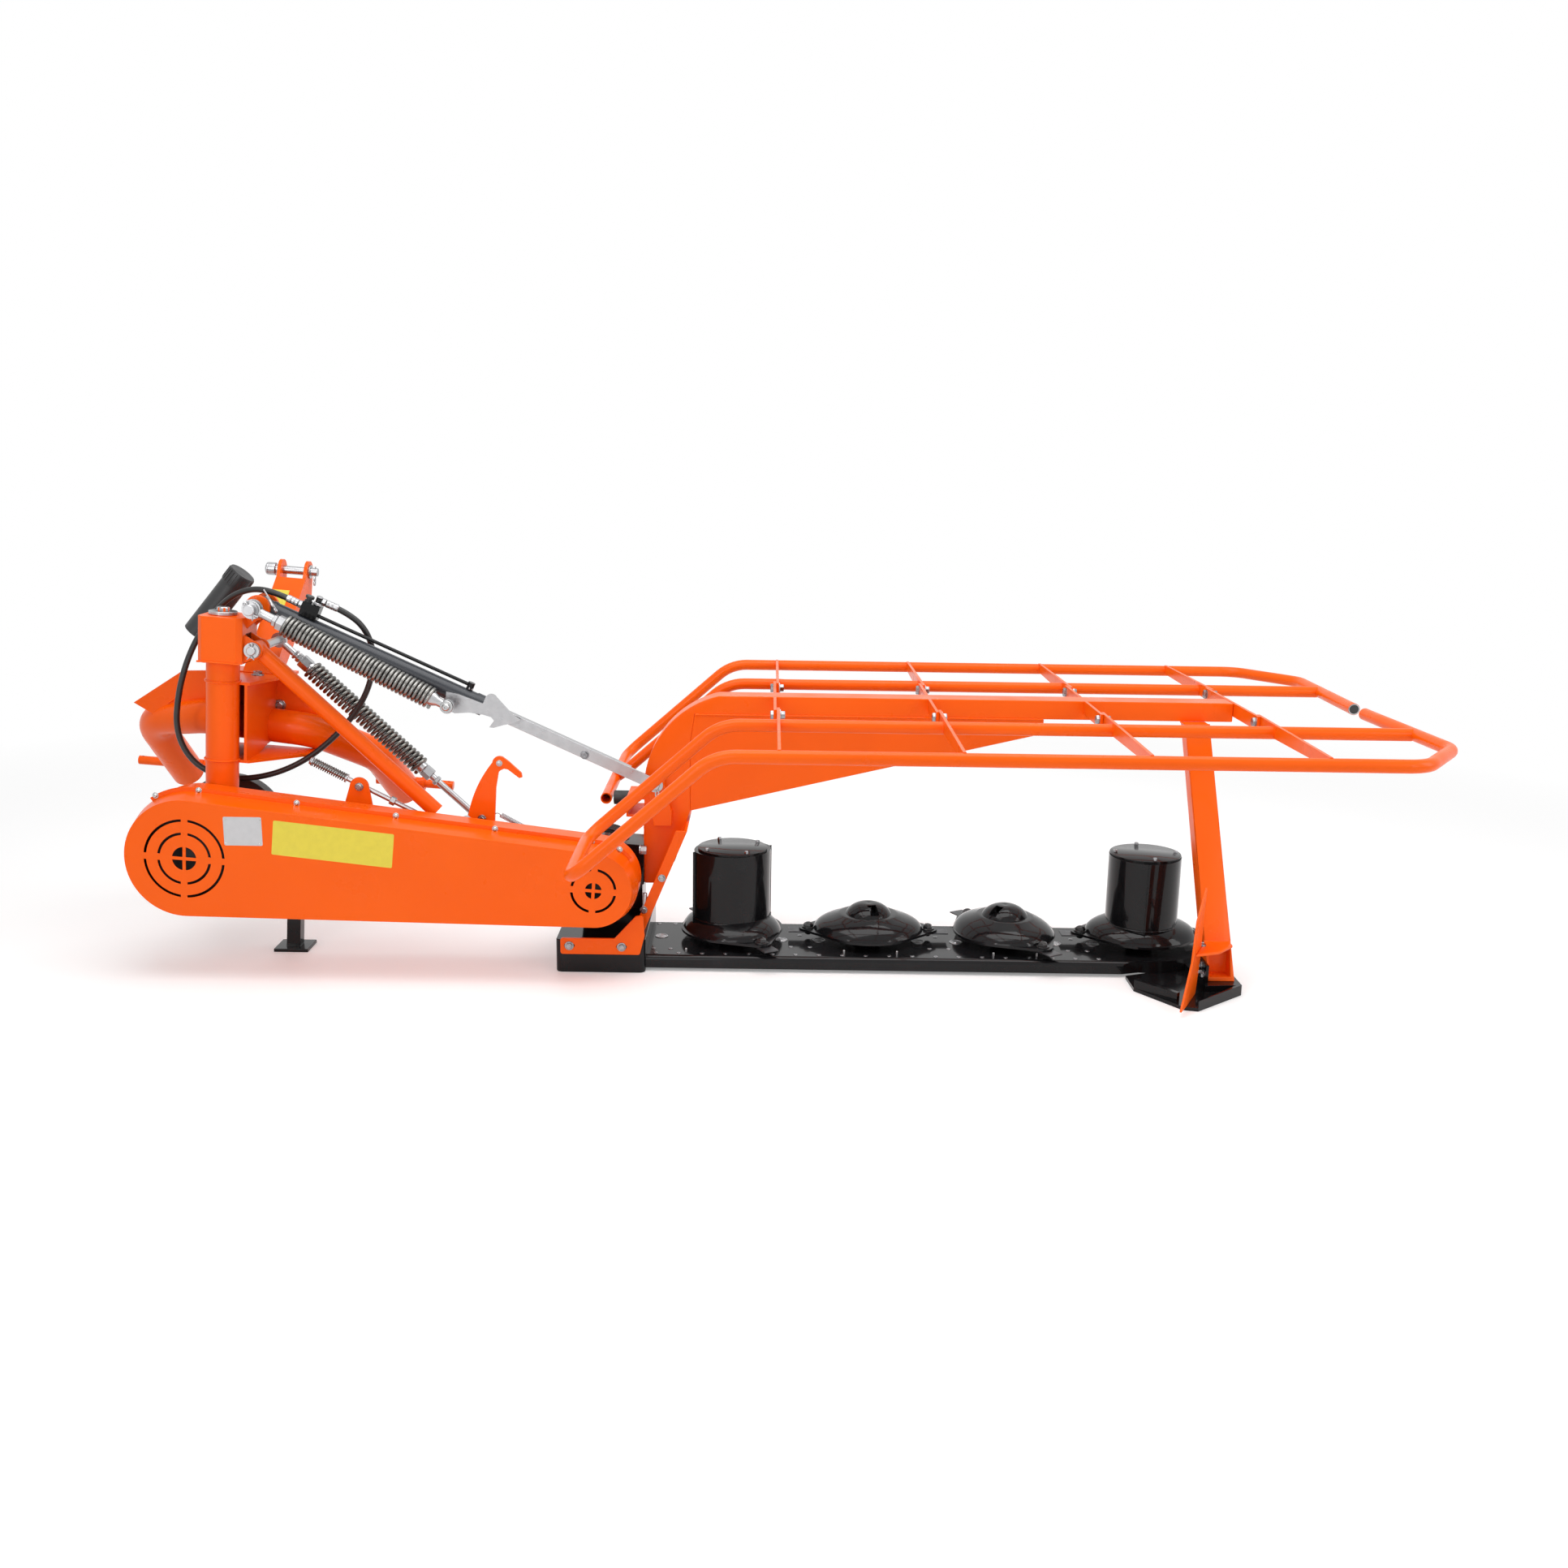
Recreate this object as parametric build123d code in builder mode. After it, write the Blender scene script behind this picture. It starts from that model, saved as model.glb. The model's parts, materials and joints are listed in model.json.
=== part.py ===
from build123d import *
import math
import os

os.makedirs("parts", exist_ok=True)

# Four-disc mower that a tractor carries at its right side, in millimetres
# +Y is the driving direction, +X runs outwards along the cutter bar and Z is up from the ground.
# Side views are drawn with X from the lift hinge, which is also the small belt pulley's axis.

# Driving sizes: stance
HINGE_Z = 275.0            # lift hinge above the ground
TILT = 4.0                 # degrees that the headstock leans while the cutter bar lies level
GUARD_RIGHT = 2190.0       # outer end of the guard frame from the hinge
COS = math.cos(math.radians(TILT))
SIN = math.sin(math.radians(TILT))

# Three-point hitch, category two
HITCH_X = -1045.0          # middle of the hitch, from the hinge
LINK_SPAN = 825.0          # shoulder to shoulder of the lower link pins
LINK_PIN_R = 14.0
LINK_PIN_LENGTH = 90.0
LINK_PIN_Y = 440.0
LINK_PIN_Z = 78.0
TOP_PIN_R = 12.5
TOP_PIN_Y = 392.0
TOP_PIN_Z = 728.0
TOP_GAP = 70.0             # free width between the top link ears
EAR_T = 10.0
ARCH_R = 50.0
ARCH_WALL = 8.0
LEG_INSET = 66.0           # leg axis inside the pin's shoulder
SHOULDER_T = 10.0
LEG_X = LINK_SPAN / 2 - LEG_INSET
PLATE_T = 8.0

# Pivot post and swivelling head
POST_X = -1088.0
POST_Y = -109.0
POST_R = 45.0
PIVOT_R = 30.0
RUN_FIT = 0.05             # radial clearance of every running fit
FACE_GAP = 0.5             # gap between faces that turn on each other
SEAT_GAP = 0.3             # gap between pieces that are bolted together
POST_BOTTOM = 104.0
POST_TOP = 515.0
COLLAR_H = 42.0
COLLAR_R = 44.5
HEAD_H = 128.0
HEAD_LEFT = 52.0
HEAD_RIGHT = 70.0
HEAD_NEAR = -172.0
HEAD_FAR = -36.0
HEAD_BEVEL = 14.0

# Lift linkage: pivot on the head, pivot on the cutter bar frame
LIFT_A_X = -990.0
LIFT_A_Z = 672.0
LIFT_B_X = 154.0
LIFT_B_Z = 523.0           # above the ground
LIFT_Y = -80.0             # middle plane of the cylinder
BARREL_R = 27.0
BARREL_BORE_R = 22.5
BARREL_START = 20.0
BARREL_LENGTH = 648.0
ROD_R = 12.5
BAR_HEIGHT = 33.0
BAR_WIDTH = 26.0
BAR_WALL = 4.0
HEAD_PIN_R = 15.0
STRUT_PIN_X = -994.0
STRUT_PIN_Z = 556.0
STRUT_PIN_R = 12.0
STRUT_R = 22.5
STRUT_FOOT_X = -478.0
STRUT_FOOT_Z = 132.0
CHEEK_T = 10.0

# Springs
UPPER_SPRING_Y = -160.0
UPPER_SPRING_R = 32.0
UPPER_SPRING_COILS = 37
UPPER_SPRING_START = 92.0  # from the head pin along the spring
UPPER_SPRING_LENGTH = 452.0
LOWER_SPRING_Y = 85.0
LOWER_SPRING_R = 30.0
LOWER_SPRING_COILS = 30
LOWER_SPRING_START = 118.0
LOWER_SPRING_LENGTH = 432.0
LOWER_FOOT_X = -405.0
LOWER_FOOT_Z = 81.0
WIRE_R = 5.0

# Carrier arm with the belt drive
ARM_NEAR = -160.0
ARM_FAR = -60.0
ARM_WALL = 6.0
HINGE_R = 48.0
HINGE_BOSS_R = 72.0
DRIVE_X = -1116.0
DRIVE_Z = -3.0
HOUSING_R = 52.0
SHAFT_R = 17.5
INNER_SHAFT_R = 20.0       # in the housing, behind the shaft's shoulder
DRIVE_PULLEY_R = 138.0
DRIVEN_PULLEY_R = 82.0
PULLEY_WIDTH = 74.0
COVER_NEAR = -322.0
COVER_FAR = -176.0
COVER_BIG_R = 176.0
COVER_SMALL_R = 118.0
COVER_WALL = 3.0
COVER_BEND = -262.0        # where the shell begins to lean inwards
COVER_STEP = 12.7          # how far the front face lies inside the rim
SLOT_WIDTH = 7.0           # vent slots in the cover's front
SLOT_BRIDGE = 18.0
HOLE_BRIDGE = 9.0
COVER_BACK_T = 6.0
SHIELD_R = 150.0
SHIELD_NECK_R = 62.0
SHIELD_Y = 90.0
HOUSING_END = 30.0
SHIELD_T = 4.0

# Cutter bar and discs
DISC_1_X = 373.0
DISC_PITCH = 404.0
DISC_COUNT = 4
BAR_BOTTOM = 10.0
BAR_TOP = 46.0
BAR_REAR = -190.0
BAR_ROUNDING = 15.0
BAR_LEFT = 123.0
BAR_RIGHT = 1492.0
SCALLOP_R = 178.0
DISC_Z = 70.0
DISC_R = 150.0
LOBE_X = 175.0             # knife bolt from the disc's middle
LOBE_R = 30.0
DISC_T = 7.0
HUMP = ((DISC_T, 162.0, 140.0), (24.0, 152.0, 128.0), (40.0, 124.0, 108.0), (54.0, 84.0, 80.0))  # height, half sizes
CAP_R = 72.0
CAP_Z = 46.0               # from the disc's underside to the cap's rim and top
CAP_TOP = 84.0
CONE_Z = 318.0
CONE_LONG = 116.5
CONE_SHORT = 104.0
CONE_TURN = 82.0           # of the cone's long side from the disc's
RECESS = 22.0              # pocket for the bolt in a low cap
RECESS_R = 26.0
LID_R = 100.0
LID_T = 4.0
KNIFE_TIP_R = 236.0
KNIFE_WIDTH = 46.0
KNIFE_T = 4.0

# Frame over the cutter bar
BEAM_HALF = 40.0
BEAM_TOP = 773.0
BEAM_BOTTOM = 719.0
BEAM_RIGHT = 1795.7        # against the last crossbar
UPRIGHT_LEFT = 117.0
UPRIGHT_RIGHT = 250.0
UPRIGHT_BOTTOM = 217.0
SLANT_FOOT = 112.0         # slanted inner plate: foot, top and slope
SLANT_TOP = 405.0
SLANT_SLOPE = 0.414

# Guard frame
TUBE_R = 17.0
GUARD_OUTER_Y = 770.0
GUARD_INNER_Y = 355.0
GUARD_Z = 748.0
FOLD_Y = 235.0
FOLD_Z = 755.0
CROSSBAR_XS = (490.0, 930.0, 1375.0, 1800.0)
CROSSBAR_T = 8.0
CROSSBAR_H = 38.0
CROSSBAR_TIP = 6.0         # drop of a crossbar's top at its outer end
GUARD_BEND_X = 345.0

# Shoes, stand and swath board
SHOE_TOP = 96.0
SHOE_LEFT = -122.0
SHOE_RIGHT = 132.0
SHOE_REAR = -210.0
SHOE_FRONT = 210.0
OUTER_POST_TOP_X = 1684.0
OUTER_POST_TOP_Y = -60.0
OUTER_POST_FOOT_X = 1745.0
OUTER_POST_FOOT_Y = -265.0
STAND_X = -898.0
STAND_Y = -30.0
STAND_SIZE = 40.0
SLEEVE_WALL = 5.0
SLEEVE_FIT = 0.4

# The origin is under the middle of the whole machine
PIN_TIP_X = HITCH_X - LINK_SPAN / 2 - LINK_PIN_LENGTH
LEFT_END = PIN_TIP_X * COS + (LINK_PIN_Z - LINK_PIN_R) * SIN
HX = -(GUARD_RIGHT + TUBE_R + LEFT_END) / 2


def ground_point(x, y, z):
    """A point from the hinge's X and the ground."""
    return Vector(HX + x, y, z)


def lean_point(x, y, z):
    """A point of the leaning headstock and carrier, from the hinge."""
    return Vector(HX + x * COS + z * SIN, y, HINGE_Z - x * SIN + z * COS)


def side(y):
    """Side view plane of the cutter bar: X from the hinge, Z from the ground, extrudes to -Y."""
    return Plane(origin=(HX, y, 0), x_dir=(1, 0, 0), z_dir=(0, -1, 0))


def lean_side(y):
    """Side view plane of the headstock and carrier, from the hinge, extrudes to -Y."""
    return Plane(origin=(HX, y, HINGE_Z), x_dir=(COS, 0, -SIN), z_dir=(0, -1, 0))


def lean_floor(x, y, z):
    """Plane across the leaning post, extrudes upwards."""
    return Plane(origin=lean_point(x, y, z), x_dir=(COS, 0, -SIN), z_dir=(SIN, 0, COS))


def along(start, end):
    """Plane at start that looks towards end, with its x direction across the machine's depth."""
    return Plane(origin=start, x_dir=(0, 1, 0), z_dir=end - start)


def save(piece, name):
    piece.label = name
    export_step(piece, f"parts/{name}.step")


# Pivot post with its pivot pin and cap
POST_CAP_Z = POST_TOP + 2 * FACE_GAP + HEAD_H
with BuildPart() as pivot_post:
    with BuildSketch(lean_floor(POST_X, POST_Y, POST_BOTTOM + FACE_GAP)):
        Circle(POST_R)
    extrude(amount=POST_TOP - POST_BOTTOM - FACE_GAP)
    with BuildSketch(lean_floor(POST_X, POST_Y, POST_BOTTOM - COLLAR_H)):
        Circle(PIVOT_R)
    extrude(amount=POST_CAP_Z - POST_BOTTOM + COLLAR_H)
    with BuildSketch(lean_floor(POST_X, POST_Y, POST_CAP_Z)):
        Circle(PIVOT_R + 8)
    extrude(amount=9)
    with BuildSketch(lean_floor(POST_X, POST_Y, POST_CAP_Z + 9)):
        RegularPolygon(17, 6)
    extrude(amount=11)
save(pivot_post.part, "pivot_post")

# Bent arch tube that carries the lower link pins
ARCH_POINTS = [
    lean_point(HITCH_X - LEG_X, LINK_PIN_Y, 52),
    lean_point(HITCH_X - LEG_X - 32, 220, 262),
    lean_point(HITCH_X - 175, 118, 305),
    lean_point(HITCH_X + 150, 118, 290),
    lean_point(HITCH_X + LEG_X - 35, 235, 205),
    lean_point(HITCH_X + LEG_X, LINK_PIN_Y, 52),
]
with BuildPart() as hitch_arch:
    with BuildLine():
        FilletPolyline(*ARCH_POINTS, radius=[105, 120, 160, 120])
    with BuildSketch(along(ARCH_POINTS[0], ARCH_POINTS[1])):
        Circle(ARCH_R)
        Circle(ARCH_R - ARCH_WALL, mode=Mode.SUBTRACT)
    sweep()
    for x in (HITCH_X - LEG_X, HITCH_X + LEG_X):
        with BuildSketch(Plane(origin=lean_point(x - 70, LINK_PIN_Y, LINK_PIN_Z), x_dir=(0, 1, 0),
                               z_dir=(COS, 0, -SIN))):
            Circle(LINK_PIN_R + 4)
        extrude(amount=140, mode=Mode.SUBTRACT)
save(hitch_arch.part, "hitch_arch")

# Lower link pins: shoulder, outer tip for the link's ball and a stub inside the leg
with BuildPart() as lower_link_pins:
    for sign in (-1, 1):
        shoulder = lean_point(HITCH_X + sign * LINK_SPAN / 2, LINK_PIN_Y, LINK_PIN_Z)
        outwards = Vector(sign * COS, 0, -sign * SIN)
        for direction, radius, length in ((outwards, LINK_PIN_R, LINK_PIN_LENGTH),
                                          (outwards * -1, LINK_PIN_R + 8, SHOULDER_T),
                                          (outwards * -1, LINK_PIN_R + 4, LEG_INSET + ARCH_R),
                                          (outwards * -1, LINK_PIN_R, LEG_INSET + ARCH_R + 40)):
            with BuildSketch(Plane(origin=shoulder, x_dir=(0, 1, 0), z_dir=direction)):
                Circle(radius)
            extrude(amount=length)
        with BuildSketch(Plane(origin=shoulder + outwards * (LINK_PIN_LENGTH - 14), x_dir=(0, 1, 0),
                               z_dir=(SIN, 0, COS))):
            Circle(5.5)
        extrude(amount=2 * LINK_PIN_R, both=True, mode=Mode.SUBTRACT)
save(lower_link_pins.part, "lower_link_pins")

# Plates that weld the arch and the mast to the post
FLANGE_Z = 450.0
with BuildPart() as hitch_plates:
    for x in (POST_X - 40, POST_X + 60):
        with BuildSketch(Plane(origin=lean_point(x, 0, 0), x_dir=(0, 1, 0), z_dir=(COS, 0, -SIN))):
            with BuildLine():
                Polyline((POST_Y, 235), (POST_Y + 110, 235), (150, 262), (150, FLANGE_Z), (POST_Y, FLANGE_Z),
                         close=True)
            make_face()
        extrude(amount=PLATE_T)
    with BuildSketch(lean_floor(POST_X, 0, FLANGE_Z)):
        with BuildLine():
            Polyline((-46, POST_Y), (74, POST_Y), (130, 60), (130, 158), (-60, 158), close=True)
        make_face()
    extrude(amount=PLATE_T)
    with BuildSketch(lean_floor(POST_X, 0, 235 - PLATE_T)):
        with BuildLine():
            Polyline((-46, POST_Y), (74, POST_Y), (210, 60), (210, 118), (-60, 118), close=True)
        make_face()
    extrude(amount=PLATE_T)
    with BuildSketch(lean_side(158)):
        with BuildLine():
            Polyline((HITCH_X - 400, 322), (HITCH_X - 255, 430), (POST_X, FLANGE_Z), (POST_X + 120, FLANGE_Z),
                     (HITCH_X + 262, 285), (HITCH_X + 150, 270), (HITCH_X - 300, 270), close=True)
        make_face()
    extrude(amount=PLATE_T)
    add(hitch_arch.part, mode=Mode.SUBTRACT)
    with BuildSketch(lean_floor(POST_X, POST_Y, 0)):
        Circle(POST_R)
    extrude(amount=FLANGE_Z + 200, mode=Mode.SUBTRACT)
    with BuildLine():
        FilletPolyline(*ARCH_POINTS, radius=[105, 120, 160, 120])
    with BuildSketch(along(ARCH_POINTS[0], ARCH_POINTS[1])):
        Circle(ARCH_R)
    sweep(mode=Mode.SUBTRACT)
save(hitch_plates.part, "hitch_plates")

# Top link mast: a box that leans forwards from the flange to the ears
MAST_FOOT_Y = 95.0
MAST_HEIGHT = 72.0
MAST_ROOT = lean_point(HITCH_X, MAST_FOOT_Y, FLANGE_Z + PLATE_T)
with BuildPart() as top_link_mast:
    with BuildSketch(Plane(origin=lean_point(HITCH_X - TOP_GAP / 2 - EAR_T, 0, 0), x_dir=(0, 1, 0),
                           z_dir=(COS, 0, -SIN))):
        with BuildLine():
            Polyline((MAST_FOOT_Y - 40, FLANGE_Z + PLATE_T), (MAST_FOOT_Y + 62, FLANGE_Z + PLATE_T),
                     (TOP_PIN_Y + 22, TOP_PIN_Z - 80), (TOP_PIN_Y - 42, TOP_PIN_Z - 18), close=True)
        make_face()
    extrude(amount=TOP_GAP + 2 * EAR_T)
    for x in (HITCH_X - TOP_GAP / 2 - EAR_T, HITCH_X + TOP_GAP / 2):
        with BuildSketch(Plane(origin=lean_point(x, 0, 0), x_dir=(0, 1, 0), z_dir=(COS, 0, -SIN))):
            with BuildLine():
                Polyline((TOP_PIN_Y - 42, TOP_PIN_Z - 18), (TOP_PIN_Y + 22, TOP_PIN_Z - 80),
                         (TOP_PIN_Y + 32, TOP_PIN_Z), (TOP_PIN_Y - 28, TOP_PIN_Z + 16), close=True)
            make_face()
            with Locations((TOP_PIN_Y, TOP_PIN_Z)):
                Circle(32)
                Circle(TOP_PIN_R + RUN_FIT, mode=Mode.SUBTRACT)
        extrude(amount=EAR_T)
save(top_link_mast.part, "top_link_mast")

# Black tube for papers beside the mast
PAPERS_R = 37.0
PAPERS_Y = 62.0
MAST_LEFT = HITCH_X - TOP_GAP / 2 - EAR_T
PAPERS_TOP = lean_point(-1093, PAPERS_Y, 744)
PAPERS_FOOT = lean_point(-1226, PAPERS_Y, 560)
with BuildPart() as document_tube:
    with BuildSketch(along(PAPERS_FOOT, PAPERS_TOP)):
        Circle(PAPERS_R)
    extrude(amount=(PAPERS_TOP - PAPERS_FOOT).length)
    with BuildSketch(lean_floor(0, 0, 592)):
        with BuildLine():
            Polyline((-1200, PAPERS_Y + 32), (MAST_LEFT - SEAT_GAP, PAPERS_Y + 32), (MAST_LEFT - SEAT_GAP, 300),
                     (MAST_LEFT - 6, 300), (MAST_LEFT - 6, PAPERS_Y + 38), (-1200, PAPERS_Y + 38), close=True)
        make_face()
    extrude(amount=24)
save(document_tube.part, "document_tube")

with BuildPart() as top_link_pin:
    with BuildSketch(Plane(origin=lean_point(HITCH_X - 70, TOP_PIN_Y, TOP_PIN_Z), x_dir=(0, 1, 0),
                           z_dir=(COS, 0, -SIN))):
        Circle(TOP_PIN_R)
    extrude(amount=140)
    with BuildSketch(Plane(origin=lean_point(HITCH_X - 80, TOP_PIN_Y, TOP_PIN_Z), x_dir=(0, 1, 0),
                           z_dir=(COS, 0, -SIN))):
        Circle(TOP_PIN_R + 7)
    extrude(amount=22)
save(top_link_pin.part, "top_link_pin")

# Swivelling head on the post, with ears for the cylinder pin and cheeks for the strut
HEAD_Z = POST_TOP + FACE_GAP
EAR_NEAR_Y = LIFT_Y - BARREL_R - 4
EAR_FAR_Y = LIFT_Y + BARREL_R + 5
with BuildPart() as swivel_head:
    with BuildSketch(lean_side(HEAD_FAR)):
        with BuildLine():
            Polyline((POST_X - HEAD_LEFT, HEAD_Z), (POST_X + HEAD_RIGHT, HEAD_Z),
                     (POST_X + HEAD_RIGHT, HEAD_Z + HEAD_H), (POST_X - HEAD_LEFT, HEAD_Z + HEAD_H), close=True)
        make_face()
    extrude(amount=HEAD_FAR - HEAD_NEAR)
    chamfer(edges().filter_by(Axis((0, 0, 0), (SIN, 0, COS))).group_by(Axis.Y)[0], length=HEAD_BEVEL)
    for y in (EAR_NEAR_Y, EAR_FAR_Y + 12):
        with BuildSketch(lean_side(y)):
            with BuildLine():
                Polyline((POST_X + HEAD_RIGHT - 5, HEAD_Z + 92), (LIFT_A_X, LIFT_A_Z - 34),
                         (LIFT_A_X, LIFT_A_Z + 34), (POST_X + HEAD_RIGHT - 5, HEAD_Z + HEAD_H), close=True)
            make_face()
            with Locations((LIFT_A_X, LIFT_A_Z)):
                Circle(34)
                Circle(HEAD_PIN_R + RUN_FIT, mode=Mode.SUBTRACT)
        extrude(amount=12)
    for y in (POST_Y - STRUT_R - 3, POST_Y + STRUT_R + 3 + CHEEK_T):
        with BuildSketch(lean_side(y)):
            with BuildLine():
                Polyline((POST_X + HEAD_RIGHT - 5, HEAD_Z), (STRUT_PIN_X, STRUT_PIN_Z - 26),
                         (STRUT_PIN_X, STRUT_PIN_Z + 26), (POST_X + HEAD_RIGHT - 5, HEAD_Z + 84), close=True)
            make_face()
            with Locations((STRUT_PIN_X, STRUT_PIN_Z)):
                Circle(26)
                Circle(STRUT_PIN_R + RUN_FIT, mode=Mode.SUBTRACT)
        extrude(amount=CHEEK_T)
    with BuildSketch(lean_floor(POST_X, POST_Y, HEAD_Z - 1)):
        Circle(PIVOT_R + RUN_FIT)
    extrude(amount=HEAD_H + 2, mode=Mode.SUBTRACT)
save(swivel_head.part, "swivel_head")

HEAD_PIN_NEAR = UPPER_SPRING_Y - 36
with BuildPart() as head_pin:
    with BuildSketch(lean_side(EAR_FAR_Y + 20)):
        with Locations((LIFT_A_X, LIFT_A_Z)):
            Circle(HEAD_PIN_R)
    extrude(amount=EAR_FAR_Y + 20 - HEAD_PIN_NEAR)
save(head_pin.part, "head_pin")

STRUT_PIN_NEAR = POST_Y - STRUT_R - 3 - CHEEK_T - 14
with BuildPart() as strut_pin:
    with BuildSketch(lean_side(LOWER_SPRING_Y + 16)):
        with Locations((STRUT_PIN_X, STRUT_PIN_Z)):
            Circle(STRUT_PIN_R)
    extrude(amount=LOWER_SPRING_Y + 16 - STRUT_PIN_NEAR)
    with BuildSketch(lean_side(STRUT_PIN_NEAR + 12)):
        with Locations((STRUT_PIN_X, STRUT_PIN_Z)):
            Circle(STRUT_PIN_R + 9)
    extrude(amount=10)
save(strut_pin.part, "strut_pin")

# Strut from the head down to the carrier arm
STRUT_TOP = lean_point(STRUT_PIN_X, POST_Y, STRUT_PIN_Z)
STRUT_FOOT = lean_point(STRUT_FOOT_X, POST_Y, STRUT_FOOT_Z)
with BuildPart() as strut:
    with BuildSketch(along(STRUT_TOP, STRUT_FOOT)):
        Circle(STRUT_R)
    extrude(amount=(STRUT_FOOT - STRUT_TOP).length)
    with BuildSketch(lean_side(POST_Y + STRUT_R)):
        with Locations((STRUT_PIN_X, STRUT_PIN_Z)):
            Circle(STRUT_R)
    extrude(amount=2 * STRUT_R)
    with BuildSketch(lean_side(POST_Y + STRUT_R + 1)):
        with Locations((STRUT_PIN_X, STRUT_PIN_Z)):
            Circle(STRUT_PIN_R + RUN_FIT)
    extrude(amount=2 * STRUT_R + 2, mode=Mode.SUBTRACT)
save(strut.part, "strut")

# Carrier arm: a tapered box from the post's lower collar to the hinge boss
ARM_TOP = (( -1175, 58), (-1150, 58), (-1030, 122), (STRUT_FOOT_X, 112), (-60, 80))
with BuildPart() as carrier_arm:
    with BuildSketch(lean_side(ARM_FAR)):
        with BuildLine():
            Polyline(*ARM_TOP, (-60, -78), (-1000, -64), (-1175, -64), close=True)
        make_face()
    extrude(amount=ARM_FAR - ARM_NEAR)
    with BuildSketch(lean_side(ARM_FAR - ARM_WALL)):
        with BuildLine():
            Polyline((-1010, 104), (-90, 70), (-90, -68), (-1010, -56), close=True)
        make_face()
    extrude(amount=ARM_FAR - ARM_NEAR - 2 * ARM_WALL, mode=Mode.SUBTRACT)
    with BuildSketch(lean_side(ARM_FAR)):
        Circle(HINGE_BOSS_R)
    extrude(amount=ARM_FAR - ARM_NEAR)
    with BuildSketch(lean_side(ARM_FAR)):
        Circle(HINGE_R + RUN_FIT)
    extrude(amount=ARM_FAR - ARM_NEAR, mode=Mode.SUBTRACT)
    with BuildSketch(lean_floor(POST_X, POST_Y, POST_BOTTOM)):
        Circle(POST_R + 30)
    extrude(amount=60, mode=Mode.SUBTRACT)
    with BuildSketch(lean_floor(POST_X, POST_Y, POST_BOTTOM - COLLAR_H)):
        Circle(COLLAR_R)
    extrude(amount=COLLAR_H)
    with BuildSketch(lean_floor(POST_X, POST_Y, POST_BOTTOM - COLLAR_H)):
        Circle(PIVOT_R + RUN_FIT)
    extrude(amount=COLLAR_H, mode=Mode.SUBTRACT)
    with BuildSketch(lean_side(HOUSING_END)):
        with Locations((DRIVE_X, DRIVE_Z)):
            Circle(HOUSING_R)
    extrude(amount=HOUSING_END - ARM_NEAR)
    with BuildSketch(lean_side(HOUSING_END)):
        with Locations((DRIVE_X, DRIVE_Z)):
            Circle(INNER_SHAFT_R + RUN_FIT)
    extrude(amount=HOUSING_END - ARM_NEAR, mode=Mode.SUBTRACT)
save(carrier_arm.part, "carrier_arm")

# Back plate and front shell of the belt cover
def cover_outline(inset):
    """Hull round both ends of the cover, drawn in the open sketch."""
    with Locations((DRIVE_X, DRIVE_Z)):
        Circle(COVER_BIG_R - inset)
    Circle(COVER_SMALL_R - inset)
    make_hull()


with BuildPart() as cover_back:
    with BuildSketch(lean_side(ARM_NEAR)):
        cover_outline(0)
        with Locations((DRIVE_X, DRIVE_Z)):
            Circle(SHAFT_R + 12, mode=Mode.SUBTRACT)
        Circle(SHAFT_R + 12, mode=Mode.SUBTRACT)
    extrude(amount=COVER_BACK_T)
save(cover_back.part, "cover_back")

with BuildPart() as belt_cover:
    for inset, front, mode in ((0, COVER_NEAR, Mode.ADD), (COVER_WALL, COVER_NEAR + COVER_WALL, Mode.SUBTRACT)):
        with BuildSketch(lean_side(ARM_NEAR - COVER_BACK_T)):
            cover_outline(inset)
        extrude(amount=ARM_NEAR - COVER_BACK_T - COVER_BEND, mode=mode)
        with BuildSketch(lean_side(COVER_BEND)):
            cover_outline(inset)
        with BuildSketch(lean_side(front)):
            cover_outline(inset + COVER_STEP)
        loft(ruled=True, mode=mode)
    for x, z, rings, core in ((DRIVE_X, DRIVE_Z, (107.0, 70.0), 33.0), (0, 0, (60.0,), 23.0)):
        with BuildSketch(lean_side(COVER_NEAR + COVER_WALL + 1)):
            with Locations((x, z)):
                for radius in rings:
                    Circle(radius + SLOT_WIDTH / 2)
                    Circle(radius - SLOT_WIDTH / 2, mode=Mode.SUBTRACT)
                Rectangle(3 * rings[0], SLOT_BRIDGE, mode=Mode.SUBTRACT)
                Rectangle(SLOT_BRIDGE, 3 * rings[0], mode=Mode.SUBTRACT)
                Circle(core)
                Rectangle(3 * core, HOLE_BRIDGE, mode=Mode.SUBTRACT)
                Rectangle(HOLE_BRIDGE, 3 * core, mode=Mode.SUBTRACT)
        extrude(amount=COVER_WALL + 2, mode=Mode.SUBTRACT)
save(belt_cover.part, "belt_cover")

# Belt drive: two pulleys on their shafts and the belt round them
PULLEY_FAR = ARM_NEAR - COVER_BACK_T - 22
with BuildPart() as drive_pulley:
    with BuildSketch(lean_side(PULLEY_FAR)):
        with Locations((DRIVE_X, DRIVE_Z)):
            Circle(DRIVE_PULLEY_R)
    extrude(amount=PULLEY_WIDTH)
    with BuildSketch(lean_side(SHIELD_Y + 18)):
        with Locations((DRIVE_X, DRIVE_Z)):
            Circle(SHAFT_R)
    extrude(amount=SHIELD_Y + 18 - HOUSING_END)
    with BuildSketch(lean_side(HOUSING_END)):
        with Locations((DRIVE_X, DRIVE_Z)):
            Circle(INNER_SHAFT_R)
    extrude(amount=HOUSING_END - PULLEY_FAR + PULLEY_WIDTH + 16)
save(drive_pulley.part, "drive_pulley")

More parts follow.
